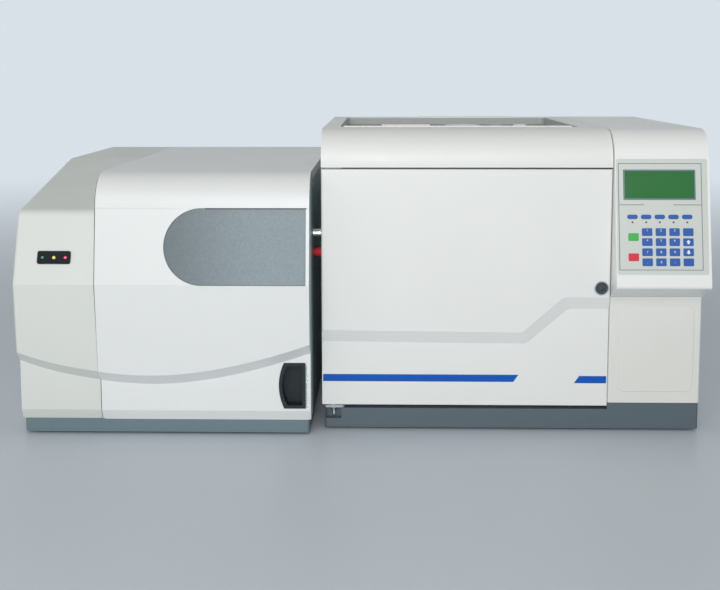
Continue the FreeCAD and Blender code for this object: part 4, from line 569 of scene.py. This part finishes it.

# The return sheet's paint is set lighter than the slate it shows, as painted light for a face the oven keeps
# in shade.
return_coat = paint_finish("return_coat", (172, 188, 191), cloud=0.06, grain=1.0, gloss=0.40, bump=0.3)
return_thickness = 0.00025
return_edge = -0.2220
return_top = 0.4102
return_nose_radius = 0.0512
return_outline = [(return_edge, 0.0260), (-0.2770, 0.0260), (-0.2836, 0.0420), (-0.2836, 0.1330),
                  (-0.3035, 0.1510), (-0.3093, 0.2440), (-0.2926, 0.3570)]
return_steps = 8
for step in range(return_steps + 1):
    nose_angle = math.radians(188.4 - step * 98.4 / return_steps)
    return_outline.append((nose_y + return_nose_radius * math.cos(nose_angle),
                           nose_z + return_nose_radius * math.sin(nose_angle)))
return_outline.append((return_edge, return_top))
return_mesh = bmesh.new()
loft(return_mesh, [[return_mesh.verts.new((x, y, z)) for y, z in return_outline]
                   for x in (0.0, return_thickness)])
main_cover_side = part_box("main_cover")[1].x
mesh_piece("side_return", return_mesh, return_coat, CHASSIS, Matrix.Translation((main_cover_side, 0, 0)))


def screw_head(name, place, outward, radius, material, body):
    """Domed cross-head screw standing on a surface, turned from a profile, with a cross recess."""
    profile = [(0.0, 0.62), (0.35, 0.60), (0.70, 0.47), (0.93, 0.24), (1.0, 0.0)]
    mesh = bmesh.new()
    loops = [ring_of(mesh, radius * share, radius * height, 20) for share, height in profile]
    for inner, outer in zip(loops, loops[1:]):
        band_between(mesh, outer, inner)
    bmesh.ops.remove_doubles(mesh, verts=mesh.verts, dist=1e-6)
    for vert in mesh.verts:
        across = abs(vert.co.x) < radius * 0.2 or abs(vert.co.y) < radius * 0.2
        if across and vert.co.length < radius * 0.85 and vert.co.z > radius * 0.3:
            vert.co.z -= radius * 0.25
    facing = Vector(outward).to_track_quat("Z", "Y").to_matrix().to_4x4()
    head = mesh_piece(name, mesh, material, body, Matrix.Translation(place) @ facing)
    for face in head.data.polygons:
        face.use_smooth = True


bright_screw = metal_finish("bright_screw", (220, 224, 226), stretch=(300, 300, 300), scratch=0.05,
                            gloss=0.18)
side_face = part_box("ms_side_panel")[1].x
side_screw_radius = 0.0026
side_screw_places = ((-0.212, 0.262), (-0.212, 0.250), (-0.205, 0.108), (-0.196, 0.092), (-0.205, 0.385))
for number, (y, z) in enumerate(side_screw_places):
    screw_head(f"side_screw_{number}", (side_face, y, z), (1, 0, 0), side_screw_radius, bright_screw, CHASSIS)


# Vacuum system
# A machined aluminium chamber and pump, a ground rod filter with its stainless source, and a ceramic
# insulated detector, bolted together behind the covers.

milled_aluminium = metal_finish("milled_aluminium", (196, 198, 200), stretch=(30, 220, 220), scratch=0.08,
                                gloss=0.34)
ground_steel = metal_finish("ground_steel", (190, 190, 190), stretch=(20, 300, 300), scratch=0.07, gloss=0.28)
white_ceramic = paint_finish("white_ceramic", (232, 228, 214), cloud=0.04, grain=0.8, gloss=0.5, bump=0.2)
dress(milled_aluminium, "vacuum_chamber", "turbo_pump", "turbo_rotor")
dress(ground_steel, "ion_source", "quadrupole")
dress(white_ceramic, "ion_detector")


# Rear fittings, switches and transfer line
# Brass unions and the pump outlet stand at the back beside black rocker switches. Between the units a heated
# tube in crinkled foil runs above a red sleeve of wound silicone tape, uneven and thicker at its right end.

turned_brass = metal_finish("turned_brass", (206, 176, 110), stretch=(200, 40, 200), scratch=0.08, gloss=0.26)
line_foil = metal_finish("line_foil", (228, 230, 232), stretch=(260, 180, 180), scratch=0.30, gloss=0.30,
                         bump=0.8)
polished_steel = metal_finish("polished_steel", (215, 217, 218), stretch=(40, 400, 400), scratch=0.10,
                              gloss=0.16)
# The sleeve's red is set brighter than its own, as painted light for the dim gap between the units.
red_silicone = paint_finish("red_silicone", (250, 58, 72), cloud=0.08, grain=0.8, gloss=0.42, bump=0.4)
rocker_black = paint_finish("rocker_black", (24, 26, 28), cloud=0.1, grain=0.4, gloss=0.3, bump=0.15)
dress(turned_brass, "rear_fittings")
dress(line_foil, "transfer_line")
dress(polished_steel, "hinge_pins", "latch_ring", "column_cage")
dress(rocker_black, "ms_power_switch", "gc_power_switch")

wrap_random = random.Random(7)
wrap_start = 0.0180
wrap_pitch = 0.0014
wrap_turns = 13
wrap_unevenness = 0.0005
end_ring = 0.0095
sleeve_profile = [(end_ring, 0.0), (end_ring, 0.003), (0.0052, 0.0032), (0.0050, 0.0165)]
for step in range(wrap_turns):
    swell = 0.0054 + 0.0038 * min(step / 10, 1.0)
    uneven = wrap_random.uniform(-wrap_unevenness, wrap_unevenness)
    sleeve_profile.append((swell + uneven, wrap_start + step * wrap_pitch))
sleeve_profile += [(0.0080, 0.0380), (0.0080, 0.0528), (end_ring, 0.0530), (end_ring, 0.0560)]
sleeve_middle = middle_of("heater_sleeve")
sleeve_start = Vector((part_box("heater_sleeve")[0].x, sleeve_middle.y, sleeve_middle.z))
along_x = Matrix.Rotation(math.radians(90), 4, "Y")
wrapped_sleeve = turned_piece("wrapped_sleeve", sleeve_profile, Matrix.Translation(sleeve_start) @ along_x,
                              red_silicone, CHASSIS)
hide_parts("heater_sleeve")


# Oven
# A steel box in mineral wool, with a bladed fan, a ring heater and a rope gasket in its door.
# The column is a thin amber-coated tube of fused silica, wound in loose turns round its wire cage.

oven_steel = metal_finish("oven_steel", (168, 168, 166), stretch=(14, 14, 420), scratch=0.05, gloss=0.40,
                          bump=0.03)
heat_tinted = metal_finish("heat_tinted", (176, 158, 140), stretch=(120, 120, 120), scratch=0.12, gloss=0.34)
motor_coat = paint_finish("motor_coat", (60, 66, 72), cloud=0.12, grain=1.0, gloss=0.5, bump=0.5)
dress(oven_steel, "oven_liner", "door_inner_panel", "oven_fan", "fan_shroud")
dress(heat_tinted, "heater_coil")
dress(motor_coat, "fan_motor", "catch_magnets")

amber_silica = paint_finish("amber_silica", (150, 92, 42), cloud=0.2, grain=1.0, gloss=0.25, bump=0.5,
                            coat=0.3)
column_low, column_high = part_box("capillary_column")
column_middle = middle_of("capillary_column")
bundle_radius = (column_high.y - column_low.y) / 2
ring_radius = (column_high.x - column_low.x) / 2 - bundle_radius
winding_radius = 0.0011
winding_count = 11
winding_steps = 72
winding_waves = 3
winding_wander = 0.0004
winding_random = random.Random(11)
windings = []
for strand in range(winding_count):
    around = strand * 2 * math.pi / winding_count
    spread = bundle_radius - 2 * winding_radius
    reach_out = ring_radius + spread * math.cos(around)
    along = column_middle.y + spread * math.sin(around)
    phase = winding_random.uniform(0, 2 * math.pi)
    points = []
    for step in range(winding_steps + 1):
        angle = step * 2 * math.pi / winding_steps
        points.append((column_middle.x + reach_out * math.cos(angle),
                       along + winding_wander * math.sin(winding_waves * angle + phase),
                       column_middle.z + reach_out * math.sin(angle)))
    windings.append(points)
column_windings = wire_curve("column_windings", windings, winding_radius, amber_silica, CHASSIS)
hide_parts("capillary_column")


def felt_skin():
    """Matted fibres: fine tangled lines over soft lumps."""
    group, given, put = new_group("felt_skin", {"Colour": "colour", "Fibre": "value"}, SKIN_OUTPUTS)
    place = group.nodes.new("ShaderNodeTexCoord").outputs["Object"]
    fibre = remap(group, noise_at(group, 700.0, 6.0, place), -1.0, 1.0)
    lump = remap(group, noise_at(group, 50.0, 4.0, place), -0.7, 0.7)
    both = combine(group, "ADD", fibre, lump)
    shade = combine(group, "ADD", combine(group, "MULTIPLY", both, given.outputs["Fibre"]), 1.0)
    group.links.new(tinted(group, given.outputs["Colour"], shade), put.inputs["Color"])
    group.links.new(remap(group, fibre, 0.85, 0.98), put.inputs["Roughness"])
    group.links.new(both, put.inputs["Height"])
    return group


FELT_SKIN = felt_skin()
mineral_wool = finish("mineral_wool", FELT_SKIN, {"Colour": shade_of(214, 206, 176), "Fibre": 0.2}, bump=0.9)
glass_rope = finish("glass_rope", FELT_SKIN, {"Colour": shade_of(206, 202, 192), "Fibre": 0.14}, bump=0.7)
dress(mineral_wool, "oven_insulation")
dress(glass_rope, "door_gasket")


# Oven door
# A folded steel skin, proud above a stepped band, with a printed blue stripe across its foot and a black
# push button with a glossy ringed face in a bright ring near its free edge.

door_paint = paint_finish("door_paint", (230, 231, 228), cloud=0.015, grain=0.8, gloss=0.38, bump=0.12)
button_gloss = paint_finish("button_gloss", (34, 50, 57), cloud=0.05, grain=0.3, gloss=0.22, bump=0.1,
                            coat=0.6)
stripe_ink = paint_finish("stripe_ink", (14, 88, 182), cloud=0.05, grain=0.4, gloss=0.35, bump=0.08,
                          specular=0.2)
dress(door_paint, "oven_door")
dress(black_mould, "latch_button")

button_profile = [(0.0088, -0.0002), (0.0088, 0.0003), (0.0080, 0.0010), (0.0072, 0.0005), (0.0052, 0.0007),
                  (0.0026, 0.0012), (0.0004, 0.0013)]
button_middle = middle_of("latch_button")
button_front = Vector((button_middle.x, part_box("latch_button")[0].y, button_middle.z))
facing_front = Matrix.Rotation(math.radians(90), 4, "X")
turned_piece("button_face", button_profile, Matrix.Translation(button_front) @ facing_front, button_gloss,
             "latch_button")


def thin_plates(name, outlines, thickness, place, material, body):
    """Thin flat shapes in one piece: (x, z) outlines raised by a thickness towards -Y, moved by a matrix."""
    mesh = bmesh.new()
    for outline in outlines:
        loft(mesh, [[mesh.verts.new((x, y, z)) for x, z in outline] for y in (-thickness, 0.0)])
    return mesh_piece(name, mesh, material, body, place)


def bar(x0, x1, z0, z1):
    """Outline of a plain strip."""
    return [(x0, z0), (x1, z0), (x1, z1), (x0, z1)]


door_low, door_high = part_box("oven_door")
door_step = 0.009
door_margin = 0.0015
stripe_thickness = 0.00015
stripe_low = 0.0785
stripe_high = 0.0900
stripe_slant = 0.008
stripe_end = 0.247
stripe_restart = 0.342
stripe_drop = 0.0015
stripe_left = door_low.x + door_margin
stripe_right = door_high.x - door_margin
long_stripe = [(stripe_left, stripe_low), (stripe_end - stripe_slant, stripe_low), (stripe_end, stripe_high),
               (stripe_left, stripe_high)]
short_stripe = [(stripe_restart - stripe_slant, stripe_low - stripe_drop),
                (stripe_right, stripe_low - stripe_drop), (stripe_right, stripe_high - stripe_drop),
                (stripe_restart, stripe_high - stripe_drop)]
thin_plates("door_stripe", [long_stripe, short_stripe], stripe_thickness,
            Matrix.Translation((0, door_low.y + door_step, 0)), stripe_ink, "oven_door")


# Groove shadow strip
# A dark strip in the groove over the access panel, as painted shade for the shadow in that narrow gap.
# It is a thin flat plate in the feet's rubber finish.

groove_floor = -0.2922
shadow_strip_thickness = 0.0009
thin_plates("panel_groove_shadow_strip", [bar(-0.236, -0.0815, 0.3579, 0.3592)], shadow_strip_thickness,
            Matrix.Translation((0, groove_floor, 0)), foot_rubber, CHASSIS)


# Oven side, lid and ports
# Painted side sheets, and over the oven a hinged moulded lid with a rounded nose and an opening whose walls
# are lined with a grey sheet as painted shade.
# In the opening stand a painted box with a trimmed rim, a white cap and two steel ports with septum caps.

lid_paint = paint_finish("lid_paint", (229, 230, 226), cloud=0.018, grain=0.8, gloss=0.42, bump=0.12)
deck_paint = paint_finish("deck_paint", (172, 178, 175), cloud=0.04, grain=0.8, gloss=0.45, bump=0.15)
cap_enamel = paint_finish("cap_enamel", (236, 237, 234), cloud=0.03, grain=0.6, gloss=0.35, bump=0.1)
red_trim = paint_finish("red_trim", (206, 96, 128), cloud=0.05, grain=0.4, gloss=0.4, bump=0.1)
dress(lid_paint, "top_cover", "gc_left_panel", "gc_right_panel")
dress(deck_paint, "injector_cover", "top_deck")
dress(cap_enamel, "detector_cap")
dress(polished_steel, "injection_ports")

opening_left = -0.036
opening_right = 0.350
opening_front = -0.165
opening_back = 0.202
opening_radius = 0.010
shade_liner_outside = 0.0001
shade_liner_inside = 0.0005
lid_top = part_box("top_cover")[1].z
shade_liner_low = lid_top - 0.0155
shade_liner_high = lid_top - 0.0032


def opening_path(inset):
    """Right, back and left walls of the lid's opening with its round back corners, moved inwards."""
    radius = opening_radius - inset
    path = [(opening_right - inset, opening_front + opening_radius)]
    for corner_x, first in ((opening_right - opening_radius, 0), (opening_left + opening_radius, 90)):
        for step in range(7):
            angle = math.radians(first + step * 15)
            path.append((corner_x + radius * math.cos(angle),
                         opening_back - opening_radius + radius * math.sin(angle)))
    return path + [(opening_left + inset, opening_front + opening_radius)]


# The grey sheet over the opening's walls is painted shade, darker than the lid's own paint.
shade_liner_mesh = bmesh.new()
shade_liner_section = ((shade_liner_outside, shade_liner_low), (shade_liner_inside, shade_liner_low), (shade_liner_inside, shade_liner_high),
                 (shade_liner_outside, shade_liner_high))
shade_liner_edges = [[shade_liner_mesh.verts.new((x, y, z)) for x, y in opening_path(inset)]
               for inset, z in shade_liner_section]
loft(shade_liner_mesh, list(zip(*shade_liner_edges)))
mesh_piece("opening_shade_liner", shade_liner_mesh, deck_paint, "top_cover")

box_low, box_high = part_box("injector_cover")
rim_left = box_low.x + 0.001
rim_right = box_high.x - 0.001
rim_low = -0.0002
rim_high = 0.0032
trim_high = 0.0041
rim_set_back = 0.003
rim_thickness = 0.001
trim_thickness = 0.0012
rim_place = Matrix.Translation((0, box_low.y + rim_set_back, box_high.z))
thin_plates("box_lip", [bar(rim_left, rim_right, rim_low, rim_high)], rim_thickness, rim_place, cap_enamel,
            CHASSIS)
thin_plates("box_lip_trim", [bar(rim_left, rim_right, rim_high, trim_high)], trim_thickness, rim_place,
            red_trim, CHASSIS)

port_low, port_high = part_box("injection_ports")
port_y = middle_of("injection_ports").y
port_inset = 0.014
for name, x, radius, material in (("septum_cap_left", port_low.x + port_inset, 0.0085, deck_paint),
                                  ("septum_cap_right", port_high.x - port_inset, 0.0108, cap_enamel)):
    cap_profile = dome_profile(radius, [(1.0, 0.0), (1.0, 0.0014), (0.92, 0.0024), (0.70, 0.0030),
                                        (0.35, 0.0033), (0.08, 0.0034)])
    turned_piece(name, cap_profile, Matrix.Translation((x, port_y, port_high.z)), material, CHASSIS)


# Control housing
# A moulded hood with a leaning front, closed at its back by a flat sheet, over a painted lower cover.
# A printed film covers the leaning front and carries the frame lines, the display window and the keys.

hood_paint = paint_finish("hood_paint", (234, 235, 232), cloud=0.018, grain=0.8, gloss=0.40, bump=0.12)
lower_paint = paint_finish("lower_paint", (223, 223, 217), cloud=0.018, grain=0.8, gloss=0.42, bump=0.12)
film_print = paint_finish("film_print", (206, 210, 203), cloud=0.012, grain=0.5, gloss=0.34, bump=0.06)
frame_ink = paint_finish("frame_ink", (106, 126, 140), cloud=0.05, grain=0.3, gloss=0.4, bump=0.05)
display_paint = paint_finish("display_paint", (46, 112, 56), cloud=0.10, grain=0.2, gloss=0.2, bump=0.03,
                             specular=0.3)
dress(hood_paint, "control_housing")
dress(lower_paint, "lower_panel")
dress(film_print, "panel_film")
dress(display_paint, "display")

hood_low, hood_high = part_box("control_housing")
hood_wall = 0.0025
back_sheet_low = 0.4298
back_sheet_thickness = 0.0008
back_sheet_set_in = 0.0004
back_sheet_outline = bar(hood_low.x + hood_wall, hood_high.x - hood_wall, back_sheet_low,
                         hood_high.z - hood_wall)
thin_plates("hood_back_sheet", [back_sheet_outline], back_sheet_thickness,
            Matrix.Translation((0, hood_high.y - back_sheet_set_in, 0)), hood_paint, CHASSIS)

# Places on the film are measured from its lower edge, across (x) and up its lean (z).
panel_edge = Vector((0.0, -0.298, 0.238))
panel_lean = math.atan(0.178)
film_thickness = 0.0005
on_film = (Matrix.Translation(panel_edge) @ Matrix.Rotation(-panel_lean, 4, "X")
           @ Matrix.Translation((0, -film_thickness, 0)))


def outer_frame(x0, x1, z0, z1, width):
    """Four bars round a window of the given size, outside it."""
    return [bar(x0 - width, x1 + width, z0 - width, z0), bar(x0 - width, x1 + width, z1, z1 + width),
            bar(x0 - width, x0, z0, z1), bar(x1, x1 + width, z0, z1)]


line = 0.0011
line_thickness = 0.00008
frame_x0 = 0.3912 + line
frame_x1 = 0.5175 - line
frame_z0 = 0.0278 + line
frame_z1 = 0.1904 - line
divider = 0.1263
divider_gap_x0 = 0.4300
divider_gap_x1 = 0.4740
film_lines = outer_frame(frame_x0, frame_x1, frame_z0, frame_z1, line)
film_lines += [bar(frame_x0, divider_gap_x0, divider, divider + line),
               bar(divider_gap_x1, frame_x1, divider, divider + line)]
thin_plates("film_frame_lines", film_lines, line_thickness, on_film, frame_ink, CHASSIS)

border_width = 0.0018
border_thickness = 0.0004
border_lift = 0.0002
window_border = outer_frame(0.4010, 0.5061, 0.1367, 0.1783, border_width)
thin_plates("window_border", window_border, border_thickness,
            on_film @ Matrix.Translation((0, -border_lift, 0)), frame_ink, CHASSIS)


# Keys
# Embossed cushions of the film over dome switches: a blue field of sixteen with plain digits and arrows, five
# blue ovals with dark dots under them, and a green and a red key at the left.

key_blue = paint_finish("key_blue", (24, 86, 168), cloud=0.05, grain=0.5, gloss=0.34, bump=0.1)
key_green = paint_finish("key_green", (60, 176, 72), cloud=0.05, grain=0.5, gloss=0.34, bump=0.1)
key_red = paint_finish("key_red", (218, 34, 52), cloud=0.05, grain=0.5, gloss=0.34, bump=0.1)
legend_ink = paint_finish("legend_ink", (226, 236, 246), cloud=0.02, grain=0.2, gloss=0.4, bump=0.03)
dark_ink = paint_finish("dark_ink", (70, 74, 78), cloud=0.05, grain=0.3, gloss=0.4, bump=0.03)

key_pitch_x = 0.0206
key_pitch_z = 0.0152
first_key_x = 0.4337
first_key_z = 0.0856
key_top = 0.0008
key_wide = 0.0157
key_tall = 0.0117
key_corner = 0.0016
side_key_x = 0.4130
start_z = 0.0780
stop_z = 0.0475
oval_x = 0.4120
oval_z = 0.1086
oval_wide = 0.0158
oval_tall = 0.0068
oval_corner = 0.0031
top_keys = 5


def key_place(column, row):
    """Middle of a key in the blue field, counted from its upper left key."""
    return first_key_x + column * key_pitch_x, first_key_z - row * key_pitch_z


def pillow_keys(name, spots, wide, tall, corner, material):
    """Embossed zones of the film: rounded outlines that rise in a soft shoulder to a flat top."""
    mesh = bmesh.new()
    corner_steps = 5
    for x, z in spots:
        loops = []
        for inset, height in ((0.0, 0.0), (0.0, 0.55), (0.00012, 0.85), (0.0004, 1.0)):
            loop = []
            radius = corner - inset
            for quarter, (side, level) in enumerate(((1, 1), (-1, 1), (-1, -1), (1, -1))):
                for step in range(corner_steps + 1):
                    angle = math.radians(90 * quarter + 90 * step / corner_steps)
                    loop.append(mesh.verts.new((x + side * (wide / 2 - corner) + radius * math.cos(angle),
                                                -key_top * height,
                                                z + level * (tall / 2 - corner) + radius * math.sin(angle))))
            loops.append(loop)
        loft(mesh, loops)
    return mesh_piece(name, mesh, material, CHASSIS, on_film)


field_spots = [key_place(column, row) for row in range(4) for column in range(4)]
oval_spots = [(oval_x + number * key_pitch_x, oval_z) for number in range(top_keys)]
key_field = pillow_keys("key_field", field_spots, key_wide, key_tall, key_corner, key_blue)
function_keys = pillow_keys("function_keys", oval_spots, oval_wide, oval_tall, oval_corner, key_blue)
start_key = pillow_keys("start_key", [(side_key_x, start_z)], key_wide, key_tall, key_corner, key_green)
stop_key = pillow_keys("stop_key", [(side_key_x, stop_z)], key_wide, key_tall, key_corner, key_red)
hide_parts("keypad")
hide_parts("keypad")
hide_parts("run_stop_keys")
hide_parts("run_stop_keys")

on_keys = on_film @ Matrix.Translation((0, -key_top, 0))
ink_thickness = 0.00006
arrow_half = [(0, 3.4), (3.6, 0.2), (1.6, 0.2), (1.6, -3.0)]


def arrow(spot, way):
    """Block arrow on a key, pointing up (way = 1) or down (way = -1), drawn in millimetres."""
    x, z = spot
    outline = arrow_half + [(-across, up) for across, up in arrow_half[:0:-1]]
    return [(x + across * 0.001, z + way * up * 0.001) for across, up in outline]


thin_plates("key_arrows", [arrow(key_place(3, 1), 1), arrow(key_place(3, 2), -1)], ink_thickness, on_keys,
            legend_ink, CHASSIS)

digit_size = 0.0052
digit_lift = 0.0024
digit_extrude = 0.00003


def key_legend(name, digit, x, z):
    """Plain digit printed on a key."""
    text = bpy.data.curves.new(name, "FONT")
    text.body = digit
    text.size = digit_size
    text.align_x = "CENTER"
    text.align_y = "CENTER"
    text.extrude = digit_extrude
    printed = bpy.data.objects.new(name, text)
    printed.matrix_world = on_keys @ Matrix.Translation((x, -digit_extrude, z)) @ facing_front
    text.materials.append(legend_ink)
    scene.collection.objects.link(printed)
    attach(printed, CHASSIS)


for row, digits in enumerate(("123", "456", "789", ".0-")):
    for column, digit in enumerate(digits):
        x, z = key_place(column, row)
        key_legend(f"legend_{row}_{column}", digit, x, z + (digit_lift if row < 2 else 0.0))

dot_z = 0.1004
dot_half_wide = 0.0014
dot_half_tall = 0.0013
dot_thickness = 0.0001
dots = [bar(x - dot_half_wide, x + dot_half_wide, dot_z - dot_half_tall, dot_z + dot_half_tall)
        for x, z in oval_spots]
thin_plates("status_dots", dots, dot_thickness, on_film, dark_ink, CHASSIS)


# Electronics
# Green glass-fibre boards with their soldered components, screwed to posts inside both housings.
# They are seen only through the vents.

board_green = paint_finish("board_green", (34, 96, 58), cloud=0.2, grain=0.8, gloss=0.35, bump=0.4)
dress(board_green, "circuit_boards")
